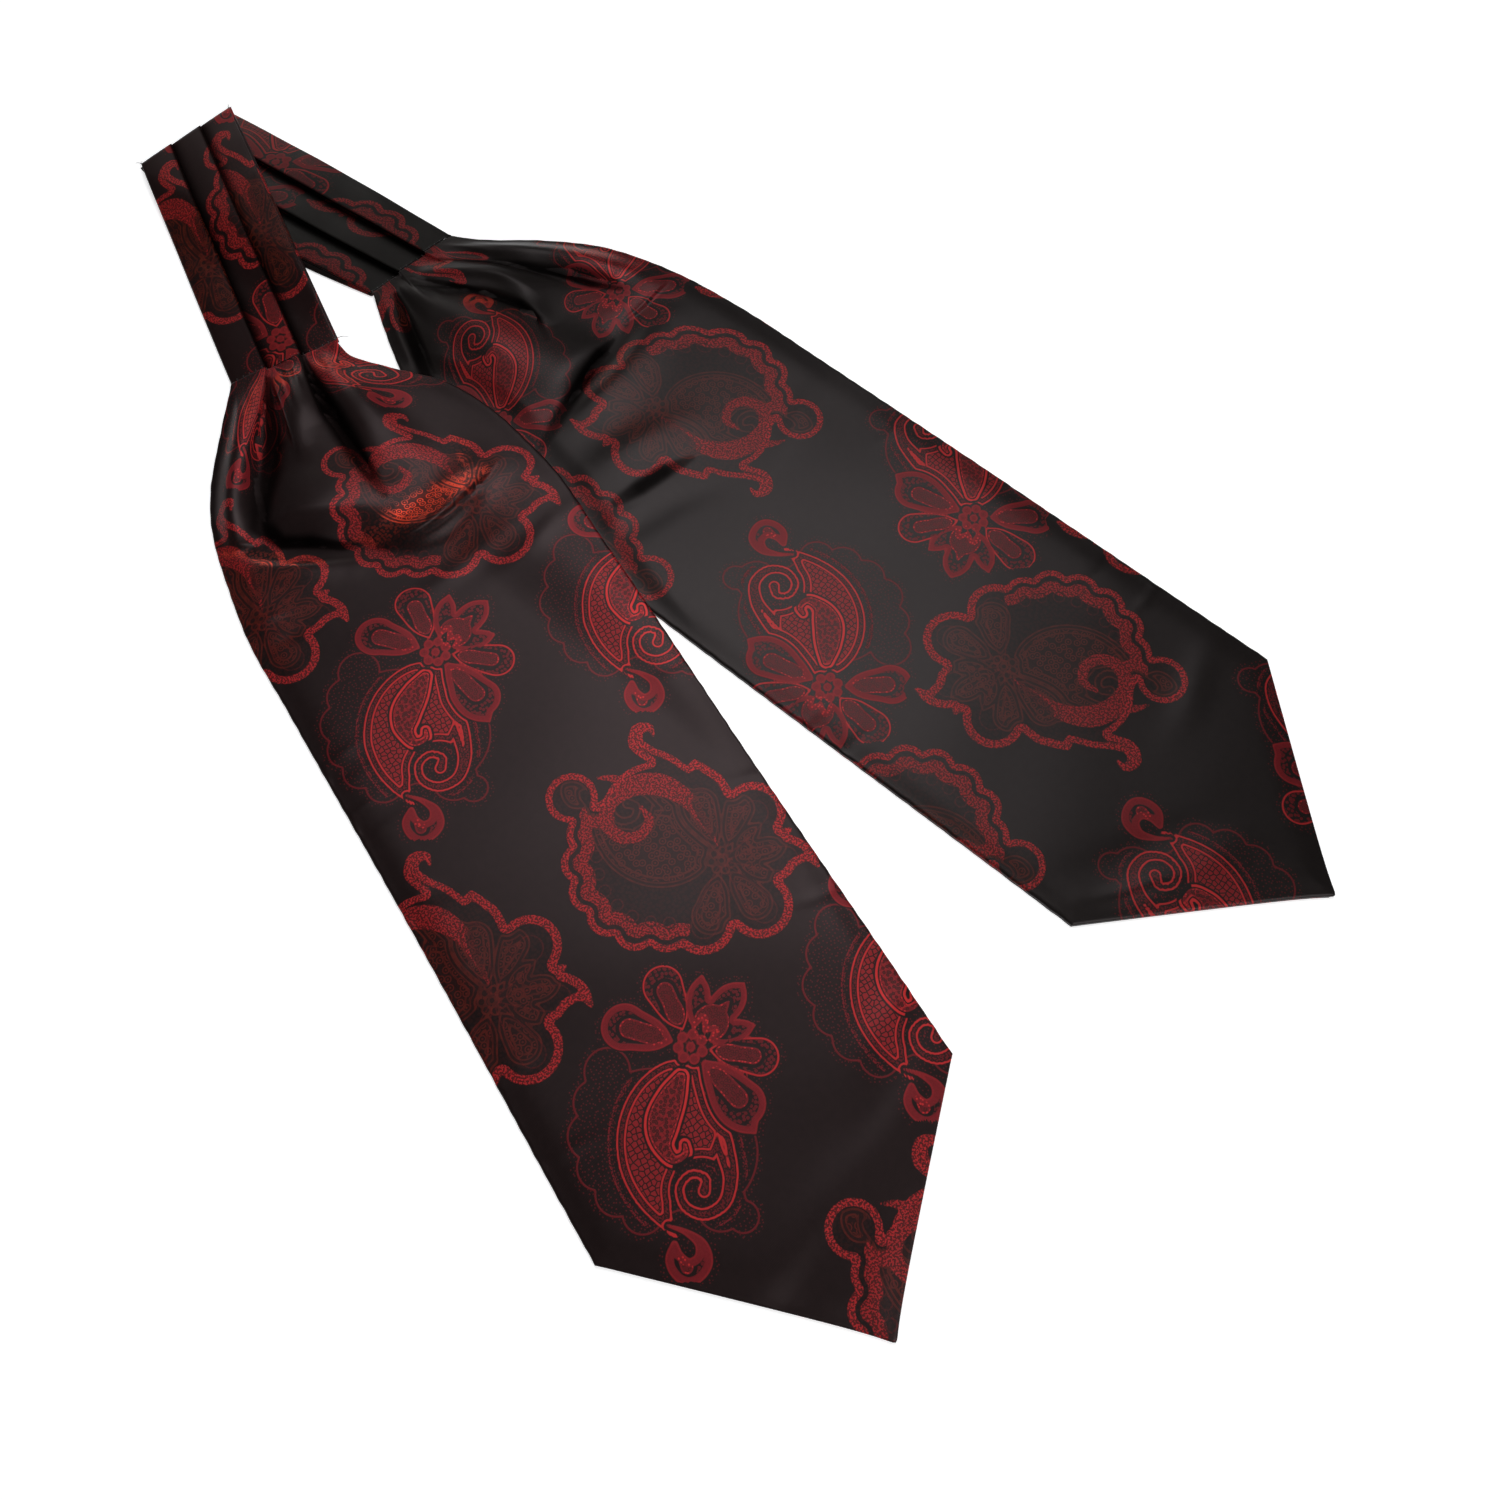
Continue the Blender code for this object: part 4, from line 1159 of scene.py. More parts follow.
def weave_fields(side, along, across, figures):
    """The figures' fields at places of the flat cloth, in mm."""
    fields = {name: np.full(along.shape, FAR) for name in DISTANCES}
    fields["rim"] = np.full(along.shape, 1.0)
    fields["stippled"] = np.zeros(along.shape)
    # They stand upright on the left side as it lies, and the right side has them turned round.
    cos, sin = math.cos(LEFT_ANGLE), math.sin(LEFT_ANGLE)
    sign = -1.0 if side.turned else 1.0
    for kind, (heart_along, heart_across) in enumerate((side.bloom_at, side.shade_at)):
        for i, j in itertools.product(REPEATS_ALONG, REPEATS_ACROSS):
            off_along = along - (heart_along + i * REPEAT_ALONG)
            off_across = across - (heart_across + i * side.skew + j * REPEAT_ACROSS)
            x = sign * (off_along * cos + off_across * sin)
            y = sign * (off_along * sin - off_across * cos)
            near = (x > FIGURE_SPAN[0] + 1) & (x < FIGURE_SPAN[1] - 1)
            near &= (y > FIGURE_SPAN[2] + 1) & (y < FIGURE_SPAN[3] - 1)
            if not near.any():
                continue
            here = figures[kind].read(x[near], y[near])
            reach = np.minimum(np.minimum(here["figure"], here["paisley"]), here["halo"])
            use = reach < FAR / 2
            spot = np.flatnonzero(near.ravel())[use]
            for name in (*DISTANCES, "rim"):
                fields[name].ravel()[spot] = np.minimum(here[name][use], FAR)
            fields["stippled"].ravel()[spot] = float(kind)
    return fields


def slope_highlight(x, y, z):
    """Painted highlight: how far the hidden weft is painted glowing, most on slopes that face the
    back softbox to the back left.
    """
    x_down, x_aside = np.gradient(x, axis=0), np.gradient(x, axis=1)
    y_down, y_aside = np.gradient(y, axis=0), np.gradient(y, axis=1)
    z_down, z_aside = np.gradient(z, axis=0), np.gradient(z, axis=1)
    area = x_down * y_aside - y_down * x_aside
    by_x = (z_down * y_aside - z_aside * y_down) / area
    by_y = (z_aside * x_down - z_down * x_aside) / area
    turn = math.radians(HIGHLIGHT_HEADING)
    slope = -(by_x * math.cos(turn) + by_y * math.sin(turn))
    return smooth_step(np.clip((slope - HIGHLIGHT_FROM) / (HIGHLIGHT_FULL - HIGHLIGHT_FROM), 0, 1))


def running_mean(values, half, axis):
    """The mean of each place's neighbours along an axis of the grid."""
    ends = [(0, 0), (0, 0)]
    ends[axis] = (half + 1, half)
    total = np.cumsum(np.pad(values, ends, mode="edge"), axis=axis)
    count = values.shape[axis]
    last = np.take(total, np.arange(2 * half + 1, 2 * half + 1 + count), axis=axis)
    return (last - np.take(total, np.arange(count), axis=axis)) / (2 * half + 1)


def fold_shade(z):
    """Painted shade: how far each place lies in the bottom of a fold, from 0 to 1."""
    mean = z
    for _ in range(2):
        mean = running_mean(running_mean(mean, FOLD_SHADE_MEAN[0], 0), FOLD_SHADE_MEAN[1], 1)
    return smooth_step(np.clip((mean - z) / FOLD_SHADE_DEPTH, 0, 1))


def stroked(along, across, strokes):
    """How far each place lies within soft strokes laid over the cloth, from 0 to 1."""
    along, across = along * 1000.0, across * 1000.0
    share = np.zeros(along.shape)
    for rows in strokes:
        for (at, side, half, much), (end_at, end_side, end_half, end_much) in zip(rows, rows[1:]):
            step, shift = end_at - at, end_side - side
            t = ((along - at) * step + (across - side) * shift) / (step * step + shift * shift)
            t = np.clip(t, 0, 1)
            away = np.hypot(along - at - t * step, across - side - t * shift)
            reach = away / (half + (end_half - half) * t)
            soft = np.clip((STROKE_GONE - reach) / (STROKE_GONE - STROKE_FULL), 0, 1)
            share = np.maximum(share, smooth_step(soft) * (much + (end_much - much) * t))
    return share


def roll_down(edge):
    """How far a sewn edge turns down, by the distance from it."""
    t = np.clip(1 - edge / EDGE_ROLL, 0, 1)
    return 1 - np.sqrt(np.maximum(1 - t * t, 0))


# ---- Materials -------------------------------------------------------------------------------
def rgba(colour, share=1.0):
    """A colour, or a darker shade of it, as a socket takes it."""
    return (*[value * share for value in colour], 1.0)


class Nodes:
    """Adds nodes to a tree, each fed with numbers or with other nodes' outputs."""

    def __init__(self, tree):
        self.tree = tree

    def add(self, kind, settings=None, **inputs):
        """A new node. An input's name has _ for each space in it."""
        node = self.tree.nodes.new(kind)
        for key, value in (settings or {}).items():
            setattr(node, key, value)
        for key, value in inputs.items():
            self.feed(node.inputs[key.replace("_", " ")], value)
        return node

    def feed(self, socket, value):
        """Link a node's output to an input, or set the input to a number or colour."""
        if isinstance(value, bpy.types.NodeSocket):
            self.tree.links.new(value, socket)
        else:
            socket.default_value = value

    def maths(self, operation, *values, clamp=False):
        """The result of a Math node."""
        node = self.add("ShaderNodeMath", {"operation": operation, "use_clamp": clamp})
        for socket, value in zip(node.inputs, values):
            self.feed(socket, value)
        return node.outputs[0]

    def without(self, value):
        """What is left of 1."""
        return self.maths("SUBTRACT", 1.0, value)

    def both(self, *values):
        """The product of values."""
        product = values[0]
        for value in values[1:]:
            product = self.maths("MULTIPLY", product, value)
        return product

    def most(self, *values):
        """The greatest of values."""
        greatest = values[0]
        for value in values[1:]:
            greatest = self.maths("MAXIMUM", greatest, value)
        return greatest

    def from_to(self, value, start, change):
        """Start where the value is 0, and start + change where it is 1."""
        return self.maths("MULTIPLY_ADD", value, change, start)

    def ramp(self, value, low, high):
        """0 at low, 1 at high and beyond, smooth between. High may be the smaller."""
        node = self.add("ShaderNodeMapRange", {"interpolation_type": "SMOOTHSTEP"}, Value=value)
        ends = (low, high, 0.0, 1.0) if low < high else (high, low, 1.0, 0.0)
        for name, end in zip(("From Min", "From Max", "To Min", "To Max"), ends):
            node.inputs[name].default_value = end
        return node.outputs["Result"]

    def within(self, value, edge, soft=0.22):
        """1 where the value is below the edge."""
        return self.ramp(self.maths("SUBTRACT", value, edge), soft, -soft)

    def line(self, value, level, half, soft=0.18):
        """1 along the line where the value is at a level."""
        return self.within(self.maths("ABSOLUTE", self.maths("SUBTRACT", value, level)), half, soft)

    def field(self, name):
        """A point attribute of the mesh."""
        return self.add("ShaderNodeAttribute", {"attribute_name": name}).outputs["Fac"]

    def mix(self, share, one, other):
        """One colour, mixed with a share of the other."""
        node = self.add("ShaderNodeMix", {"data_type": "RGBA"})
        for socket, value in ((0, share), (6, one), (7, other)):
            self.feed(node.inputs[socket], value)
        return node.outputs[2]

    def choose(self, share, one, other):
        """One number, mixed with a share of the other."""
        node = self.add("ShaderNodeMix", {"data_type": "FLOAT"})
        for socket, value in ((0, share), (2, one), (3, other)):
            self.feed(node.inputs[socket], value)
        return node.outputs[0]

    def noise(self, where, scale, **settings):
        """Soft noise."""
        return self.add("ShaderNodeTexNoise", settings, Vector=where, Scale=scale)


class Weave(Nodes):
    """The nodes of jacquard silk: its fields, its fine textures and what they draw."""

    def __init__(self, tree):
        super().__init__(tree)
        self.figure, self.heart = self.field("figure"), self.field("heart")
        self.paisley, self.halo = self.field("paisley"), self.field("halo")
        self.rim, self.stippled = self.field("rim"), self.field("stippled")
        self.ghost, self.painted_shade = self.field("ghost"), self.field("painted_shade")
        cloth = self.add("ShaderNodeUVMap", {"uv_map": "cloth"}).outputs["UV"]
        in_mm = self.add("ShaderNodeMapping", Vector=cloth, Scale=(100.0, 100.0, 100.0))
        self.place = in_mm.outputs["Vector"]
        specks = self.noise(self.place, 1.25, noise_dimensions="2D")
        specks.inputs["Detail"].default_value = 1.0
        self.speck = specks.outputs["Fac"]
        self.grain = self.ramp(self.speck, 0.44, 0.56)
        self.beads = self.spots(0.62, 0.75)
        self.bead = self.ramp(self.beads, 0.46, 0.34)
        patches = self.noise(self.place, 0.28, noise_dimensions="2D").outputs["Fac"]
        self.patch = self.ramp(patches, 0.35, 0.65)
        # The painted highlight is broken up into uneven patches, some threads before others.
        drawn = self.field("painted_highlight")
        loose = self.ramp(self.from_to(drawn, patches, 0.35), 0.45, 0.75)
        self.painted_highlight = self.both(drawn, loose)
        past_rim = self.within(self.maths("ADD", self.figure, self.rim), 0.0)
        self.past_rim = past_rim
        self.rims = self.both(self.within(self.figure, 0.0), self.without(past_rim))
        self.in_heart = self.within(self.heart, 0.0)
        self.heart_line = self.line(self.heart, -0.3, 0.34)
        self.in_paisley = self.within(self.paisley, 0.0)

    def spots(self, scale, uneven, feature="F1"):
        """Distance to the nearest of scattered points, or to the border between two of them."""
        settings = {"voronoi_dimensions": "2D", "feature": feature}
        kind = "ShaderNodeTexVoronoi"
        node = self.add(kind, settings, Vector=self.place, Scale=scale, Randomness=uneven)
        return node.outputs["Distance"]

    def ribs(self, direction):
        """Fine ribs of thread that follow each other in a direction."""
        settings = {"wave_type": "BANDS", "bands_direction": direction}
        kind = "ShaderNodeTexWave"
        node = self.add(kind, settings, Vector=self.place, Scale=THREAD_SCALE, Distortion=0.6)
        return node.outputs["Fac"]

    def bloom_petals(self):
        """Inside the rims: stippled hearts with a line round them, and beads."""
        about_heart = self.without(self.within(self.heart, 1.5))
        dotted = self.both(self.in_heart, self.from_to(self.bead, 0.62, -0.42))
        filling = self.most(dotted, self.heart_line)
        beaded = self.both(self.bead, about_heart, 0.66)
        return self.both(self.past_rim, self.most(filling, beaded))

    def bloom_paisley(self):
        """Echo lines inside its edge with beads between, and scales within: red and bright."""
        paisley, heart, line, both, most = self.paisley, self.heart, self.line, self.both, self.most
        echo = most(line(paisley, -0.4, 0.42), line(paisley, -3.2, 0.40))
        beading = both(self.ramp(paisley, -1.0, -1.4), self.ramp(paisley, -2.7, -2.3))
        beading = both(beading, self.from_to(self.grain, 0.05, 0.72))
        scale_edge = self.ramp(self.spots(0.48, 0.55, "DISTANCE_TO_EDGE"), 0.15, 0.07)
        mesh = both(self.within(paisley, -3.8), self.from_to(scale_edge, 0.9, -0.82))
        curl_line = both(line(heart, 1.0, 0.55), self.within(paisley, -1.2))
        ring = most(self.without(self.within(heart, 2.3)), curl_line, self.in_heart)
        inner = both(most(echo, beading, mesh, curl_line), ring)
        dotted = most(self.from_to(self.bead, 0.85, -0.7), self.heart_line)
        inner_heart = both(self.in_heart, dotted)
        inner = most(both(inner, self.without(self.in_heart)), inner_heart)
        clear = self.without(self.within(self.figure, 0.8))
        body = both(self.in_paisley, inner, clear)
        bright = both(body, most(curl_line, both(echo, 0.8), both(mesh, 0.35)))
        return body, bright

    def bloom_surround(self):
        """The thin scalloped line round both, a toothed one, and loose specks of weft."""
        free = self.without(self.most(self.in_paisley, self.within(self.figure, 0.5)))
        thin = self.both(self.line(self.halo, 0.0, 0.34), free, 0.75)
        teeth = self.both(self.ramp(self.speck, 0.5, 0.62), 0.9)
        toothed = self.maths("ADD", self.paisley, teeth)
        thorn = self.both(self.line(toothed, 2.9, 0.3), free, self.within(self.halo, -2.0))
        strewn = self.both(self.ramp(self.beads, 0.24, 0.14), free)
        about = self.maths("MINIMUM", self.figure, self.halo)
        return thin, thorn, self.both(strewn, self.both(self.within(about, 2.6), 0.4))

    def bloom(self):
        """The flower with its paisley: where its weft shows, and where it is brightest."""
        body, body_bright = self.bloom_paisley()
        red = self.most(self.rims, self.bloom_petals(), body, *self.bloom_surround())
        outer = self.line(self.figure, -0.35, 0.34)
        outer = self.both(outer, self.from_to(self.ramp(self.rim, 1.3, 0.9), 0.25, 0.75))
        gems = self.both(self.in_heart, self.ramp(self.beads, 0.30, 0.20))
        return red, self.most(self.both(outer, 0.7), self.both(gems, 0.9), body_bright)

    def shade(self):
        """The stippled outline and band, with the petals only just seen, and what glints."""
        both, most, line = self.both, self.most, self.line
        heart, ghost, past_rim = self.heart, self.ghost, self.past_rim
        crinkle = both(self.ramp(self.speck, 0.56, 0.50), 0.7)
        medal = both(self.in_paisley, most(line(heart, -0.1, 0.34), self.within(heart, -1.75)))
        solid = most(self.rims, both(self.in_paisley, 0.78))
        solid = both(solid, self.without(both(medal, 0.85)))
        petal_lines = both(line(heart, 0.0, 0.28), past_rim, self.speck, 0.2)
        red = most(both(solid, self.without(crinkle)), petal_lines)
        # What lies within it is a faint figure of the weave, which is painted bright where highlight
        # is painted.
        ripple = most(line(ghost, -0.2, 0.42), line(ghost, -2.1, 0.36), line(ghost, -4.4, 0.5))
        in_ghost = both(self.within(ghost, 0.3), self.without(solid))
        ripple = both(ripple, self.from_to(self.patch, 0.6, 0.4))
        eye = self.spots(0.30, 0.6)
        ringlet = most(line(eye, 0.37, 0.07, 0.05), self.within(eye, 0.12, 0.05))
        ringlet = both(ringlet, self.within(ghost, -2.6))
        glint = both(in_ghost, past_rim, most(ripple, ringlet, 0.10))
        about_ghost = both(past_rim, self.bead, 0.12)
        return red, both(most(glint, about_ghost), self.stippled)

    def relief(self, red):
        """The bump of threads along and across, and of weft that stands up."""
        ribs = self.maths("ADD", self.both(self.ribs("X"), 0.35), self.both(self.ribs("Y"), 0.2))
        height = self.maths("ADD", self.both(red, 0.8), ribs)
        bump = self.add("ShaderNodeBump", Height=height, Strength=0.22, Distance=0.00012)
        return bump.outputs["Normal"]


def new_material(name):
    """A material with its node tree and its shader's inputs."""
    material = bpy.data.materials.new(name)
    material.use_nodes = True
    return material, material.node_tree, material.node_tree.nodes["Principled BSDF"].inputs


def silk(name, ground, weft, thread, highlight_colour, tint, dim=1.0, shine=0.26, gloss=0.25):
    """Jacquard silk: a satin ground with the figures in red weft, flat or stippled."""
    material, tree, shader = new_material(name)
    n = Weave(tree)
    both, mix = n.both, n.mix
    bloom_red, bloom_bright = n.bloom()
    shade_red, glint = n.shade()
    red = n.maths("MULTIPLY", n.choose(n.stippled, bloom_red, shade_red), 1.0, clamp=True)
    bright = n.choose(n.stippled, bloom_bright, n.from_to(n.grain, 0.15, 0.5))
    bright = n.maths("MULTIPLY", bright, 1.0, clamp=True)

    woven = mix(both(n.grain, 0.3), rgba(weft), rgba(weft, 0.7))
    woven = mix(bright, woven, rgba(thread))
    # Painted highlight: the red weft is painted towards the highlight colour where highlight is
    # painted.
    woven = mix(both(n.painted_highlight, 0.45), woven, rgba(highlight_colour))
    tone = mix(both(n.patch, 0.35), rgba(ground), rgba(ground, 0.7))
    inside = both(n.stippled, n.past_rim)
    tone = mix(both(inside, n.from_to(n.grain, 0.35, 0.3)), tone, rgba(ground, 0.35))
    colour = mix(both(red, dim), tone, woven)
    # Painted shade: fold bottoms, grooves and shade strokes are painted nearly black, and made
    # metallic and rough so that they reflect little.
    colour = mix(both(n.painted_shade, 0.94), colour, rgba(ground, 0.15))
    # The faint figure within the shade is the weave's own; where highlight is painted, it is painted
    # in the highlight colour: partly real, mostly painted highlight.
    hidden = both(glint, n.without(red))
    shown = both(hidden, n.from_to(n.painted_highlight, 0.09, 0.91))
    n.feed(shader["Base Color"], mix(shown, colour, rgba(highlight_colour)))
    metal = n.from_to(red, both(shown, n.painted_highlight, 0.75), shine)
    n.feed(shader["Metallic"], n.most(metal, both(n.painted_shade, 0.95)))
    n.feed(shader["Roughness"], n.from_to(n.painted_shade, n.from_to(red, 0.35, 0.05), 0.35))
    shader["Specular IOR Level"].default_value = gloss
    shader["Specular Tint"].default_value = rgba(tint)
    n.feed(shader["Normal"], n.relief(red))
    return material


def sewing_thread(name, colour):
    """Fine sewing thread, twisted."""
    material, tree, shader = new_material(name)
    n = Nodes(tree)
    twist = n.noise(n.add("ShaderNodeTexCoord").outputs["Object"], 900.0).outputs["Fac"]
    n.feed(shader["Base Color"], n.mix(twist, rgba(colour, 0.5), rgba(colour)))
    n.feed(shader["Roughness"], n.from_to(twist, 0.5, 0.2))
    shader["Sheen Weight"].default_value = 0.2
    return material


def paper(name):
    """White studio floor, lit a little from within."""
    material, tree, shader = new_material(name)
    n = Nodes(tree)
    cloud = n.noise(n.add("ShaderNodeTexCoord").outputs["Object"], 2.0).outputs["Fac"]
    n.feed(shader["Base Color"], n.mix(cloud, rgba((0.93, 0.93, 0.93)), rgba((0.95, 0.95, 0.95))))
    shader["Roughness"].default_value = 0.9
    shader["Emission Color"].default_value = rgba((1.0, 1.0, 1.0))
    shader["Emission Strength"].default_value = 0.55
    shader["Specular IOR Level"].default_value = 0.1
    return material


def make_materials():
    """Every material of the cravat, by what it is for."""
    return {
        "left": silk("satin left blade", **LEFT_SILK),
        "right": silk("satin right blade", **RIGHT_SILK),
        "band": silk("satin neckband", **BAND_SILK),
        "band turned": silk("satin neckband turned", **TURNED_SILK),
        "thread": sewing_thread("dark thread", (0.012, 0.006, 0.006)),
        "tail": sewing_thread("loose thread", (0.10, 0.10, 0.10)),
    }


# ---- Blades ----------------------------------------------------------------------------------
def blade_shells(side, beneath, covering, figures, material):
    """The front and back panels of one blade, and the points of its neck seam.

    Beneath and covering are the outlines of the blade that it lies on, or that lies on it.
    """
    width = (side.sections[0][3] - side.sections[0][2]) / 1000.0
    share = shares(BLADE_COLUMNS, width)
    along, across = blade_grid(side, share, *BLADE_ROWS)
    x, y = place(side, along, across)
    edge = edge_distance(along, across)
    rise = puff(side, along, across, share) * freedom(covering, x, y)
    top = lifted(beneath, x, y, FRONT_DRAPE) + rise + 2 * WALL + LAYER_GAP
    at_neck = np.exp(-(((along[-1] - along) / SEAM_EASE) ** 2))
    top = top - EDGE_DROP * roll_down(edge) * (1 - at_neck)

    weight = swallow_weight(along, across, side.swallows)
    flat_across = cloth_across(across, top, weight, side.cloth_start)
    swallowed = GATHER_SQUEEZE * smooth_step(np.clip((along - SWALLOW_FROM) / SWALLOW_SPAN, 0, 1))
    cloth = dragged(along * 1000.0 + swallowed, flat_across, side.drags)
    fields = weave_fields(side, *cloth, figures)
    # Painted highlight on slopes that face the back softbox and in strokes, and painted shade in
    # fold bottoms and strokes.
    fields["painted_highlight"] = np.maximum(slope_highlight(x, y, top), stroked(along, across, side.drawn))
    fields["painted_shade"] = np.maximum(fold_shade(top), stroked(along, across, side.pinched))
    shift = puckered(along, across, side.pucker_seed)
    x = x + shift * math.sin(side.angle)
    y = y - shift * math.cos(side.angle)
    front = shell(f"{side.name}_blade_front_silk", x, y, top, cloth, fields, material)

    # The back panel, plainer: every third place of the same grid, and closer by its sides.
    last = len(share) - 1
    columns = sorted({0, 2, 3, *range(4, last - 3, 3), last - 3, last - 2, last})
    pick = np.ix_(marks(len(along), 3), columns)
    rolled = BACK_ROLL * (1 - roll_down(edge[pick]))
    up = lifted(beneath, x[pick], y[pick]) + CLOTH + rolled
    cloth = (along[pick] * 1000.0, -flat_across[pick] + BACK_SHIFT)
    fields = weave_fields(side, *cloth, figures)
    fields["painted_highlight"] = fields["painted_shade"] = np.zeros(up.shape)
    back = shell(f"{side.name}_blade_back_silk", x[pick], y[pick], up, cloth, fields, material)
    return front, back, np.stack([x[-1], y[-1], top[-1]], -1)


# ---- Neckband --------------------------------------------------------------------------------
def band_corners(side):
    """The left and right ends of a half-band's neck seam, then of the centre-back fold."""
    along, lean, left, right = (value / 1000.0 for value in side.sections[-1])
    seam = [place(side, along + lean / 2, left), place(side, along - lean / 2, right)]
    return seam + [FOLD_LEFT, FOLD_RIGHT]


def returning(foot, lip, low, high, cloth):
    """Where a pleat's cloth turns back under its lip, towards the hidden foot of the next."""
    slope = (high - low) / (lip - foot)
    inner = lip - PLEAT_RETURN
    level = low + (inner - foot) * slope
    under = high - 2 * LIP_RADIUS
    # Across, height and cloth: in under the lip, at the inner fold and round it.
    return [
        (lip - 0.0015, under - 0.3 * slope * 0.0015, cloth + 19.0),
        (inner, level - 2.3 * LIP_RADIUS, cloth + 22.0),
        (inner - 0.0003, level - 2.9 * LIP_RADIUS, cloth + 22.6),
    ]


def pleat_rows(number, cloth):
    """The section of one pleat: in from its hidden foot, up its panel and round its lip."""
    start, end, low, high = PLEATS[number]
    foot, lip = start * BAND_WIDTH, end * BAND_WIDTH
    low, high = (height / 1000.0 - BAND_CLOTH / 2 for height in (low, high))
    returns = number < len(PLEATS) - 1
    turn_at = lip if returns else lip - LIP_RADIUS
    at_lip = cloth + (lip - foot) * 1000
    rows = []
    if number:
        rows.append((foot - PLEAT_RETURN, low - 0.0006, cloth - PLEAT_RETURN * 1000))
        rows.append((foot - 0.001, low - 0.0002, cloth - 1.0))
    for t in PLEAT_SAMPLES:
        height = low + t**PLEAT_HOLLOW * (high - low) + PLEAT_CROWN * math.sin(math.pi * t)
        rows.append((foot + t * (turn_at - foot), height, cloth + t * (lip - foot) * 1000))
    for turn in LIP_TURNS:
        reach = LIP_RADIUS * math.sin(math.radians(turn))
        drop = LIP_RADIUS * (1 - math.cos(math.radians(turn)))
        rows.append((turn_at + reach, high - drop, at_lip + turn / 120))
    return rows + (returning(foot, lip, low, high, cloth) if returns else [])


def pleated_section(panel_cloth):
    """The folded silk of the neckband in section, from the side that lies on top.

    Gives rows of across, height and place across the flat cloth, in metres and mm.
    """
    first, last = panel_cloth[0], panel_cloth[-1] + 17.0
    half = BAND_CLOTH / 2
    rows = [(across, height, first - cloth) for across, height, cloth in FAR_EDGE]
    for number, cloth in enumerate(panel_cloth):
        rows += pleat_rows(number, cloth)
    rows += [(BAND_WIDTH + past, height, last + cloth) for past, height, cloth in INNER_FOLD_ROWS]
    for t in np.linspace(0.9, 0.06, 12):
        rows.append((BAND_WIDTH * t, half, last + 12.0 + (1 - t) * BAND_WIDTH * 1000))
    return np.array(rows)


def groove_shade(share):
    """Painted shade of the grooves: how close each place of the band's width is to the foot of a
    pleat, beside its lip.
    """
    close = np.zeros(share.shape)
    for start, *_ in PLEATS[1:]:
        past = (share - start) * BAND_WIDTH
        near = np.exp(-((np.maximum(past, 0) / GROOVE_SHADE_WIDTH) ** 2))
        close = np.maximum(close, near * (past > -GROOVE_SHADE_UNDER_LIP))
    return close


def thickened(path, thickness):
    """The two faces of a path: points offset to both hands of it."""
    run = np.gradient(path, axis=0)
    run /= np.hypot(*run.T)[:, None] + 1e-12
    normal = np.column_stack([-run[:, 1], run[:, 0]])
    return path + normal * thickness / 2, path - normal * thickness / 2


def band_row(side, distance, length, corners, ring, under):
    """World x, y and z of the folded section at a distance from the centre-back fold."""
    seam, fold = np.array(corners[:2]), np.array(corners[2:])
    at = distance / length
    bowed = 4 * at * (1 - at)
    left, right = seam + (1 - at) * (fold - seam)
    outwards = (right - left) / np.linalg.norm(right - left)
    left, right = left - side.bows[0] * bowed * outwards, right + side.bows[1] * bowed * outwards
    share = ring[:, 0] / BAND_WIDTH
    if side.turned:
        share = 1 - np.where(share > 1, 1 + (share - 1) * (1 + FOLD_SAGS * bowed), share)
    x = left[0] + share * (right[0] - left[0])
    y = left[1] + share * (right[1] - left[1])

    # The pleats are pressed flatter towards the fold, and the band bends down round it.
    steps = PLEATS_AT_FOLD + (1 - PLEATS_AT_FOLD) * min(1.0, distance / PRESSED_LENGTH)
    flat = ring[:, 1]
    height = np.where(flat > STEP_BASE, STEP_BASE + steps * (flat - STEP_BASE), flat)
    sway = sum(rise * np.sin(distance * onward + share * aside) for rise, onward, aside in SWAYS)
    sway = sway * np.clip(flat / SWAY_FULL_UP, 0, 1) * min(1.0, distance / SWAY_FULL_ALONG)
    height = height + sway
    bend = math.sqrt(1 - (1 - min(distance / BAND_TURN, 1.0)) ** 2)
    bend = FOLD_EDGE + (1 - FOLD_EDGE) * bend
    top = BAND_BASE + steps * (max(row[3] for row in PLEATS) / 1000.0 - BAND_BASE)
    if under is None:
        return x, y, top - (top - height) * bend
    return x, y, height * bend + over(under, x, y, top + LAYER_GAP)


def tube_faces(number):
    """The faces of a closed band whose rows go round a flattened ring, with its two ends."""
    rows, count = number.shape
    ahead = np.roll(number, -1, axis=1)
    quads = np.stack([number[:-1], ahead[:-1], ahead[1:], number[1:]], -1).reshape(-1, 4)
    faces = quads.tolist()
    for row, flip in ((0, False), (rows - 1, True)):
        ring = number[row].tolist()
        for k in range(count // 2 - 1):
            face = [ring[k], ring[k + 1], ring[count - 2 - k], ring[count - 1 - k]]
            faces.append(face[::-1] if flip else face)
    return faces


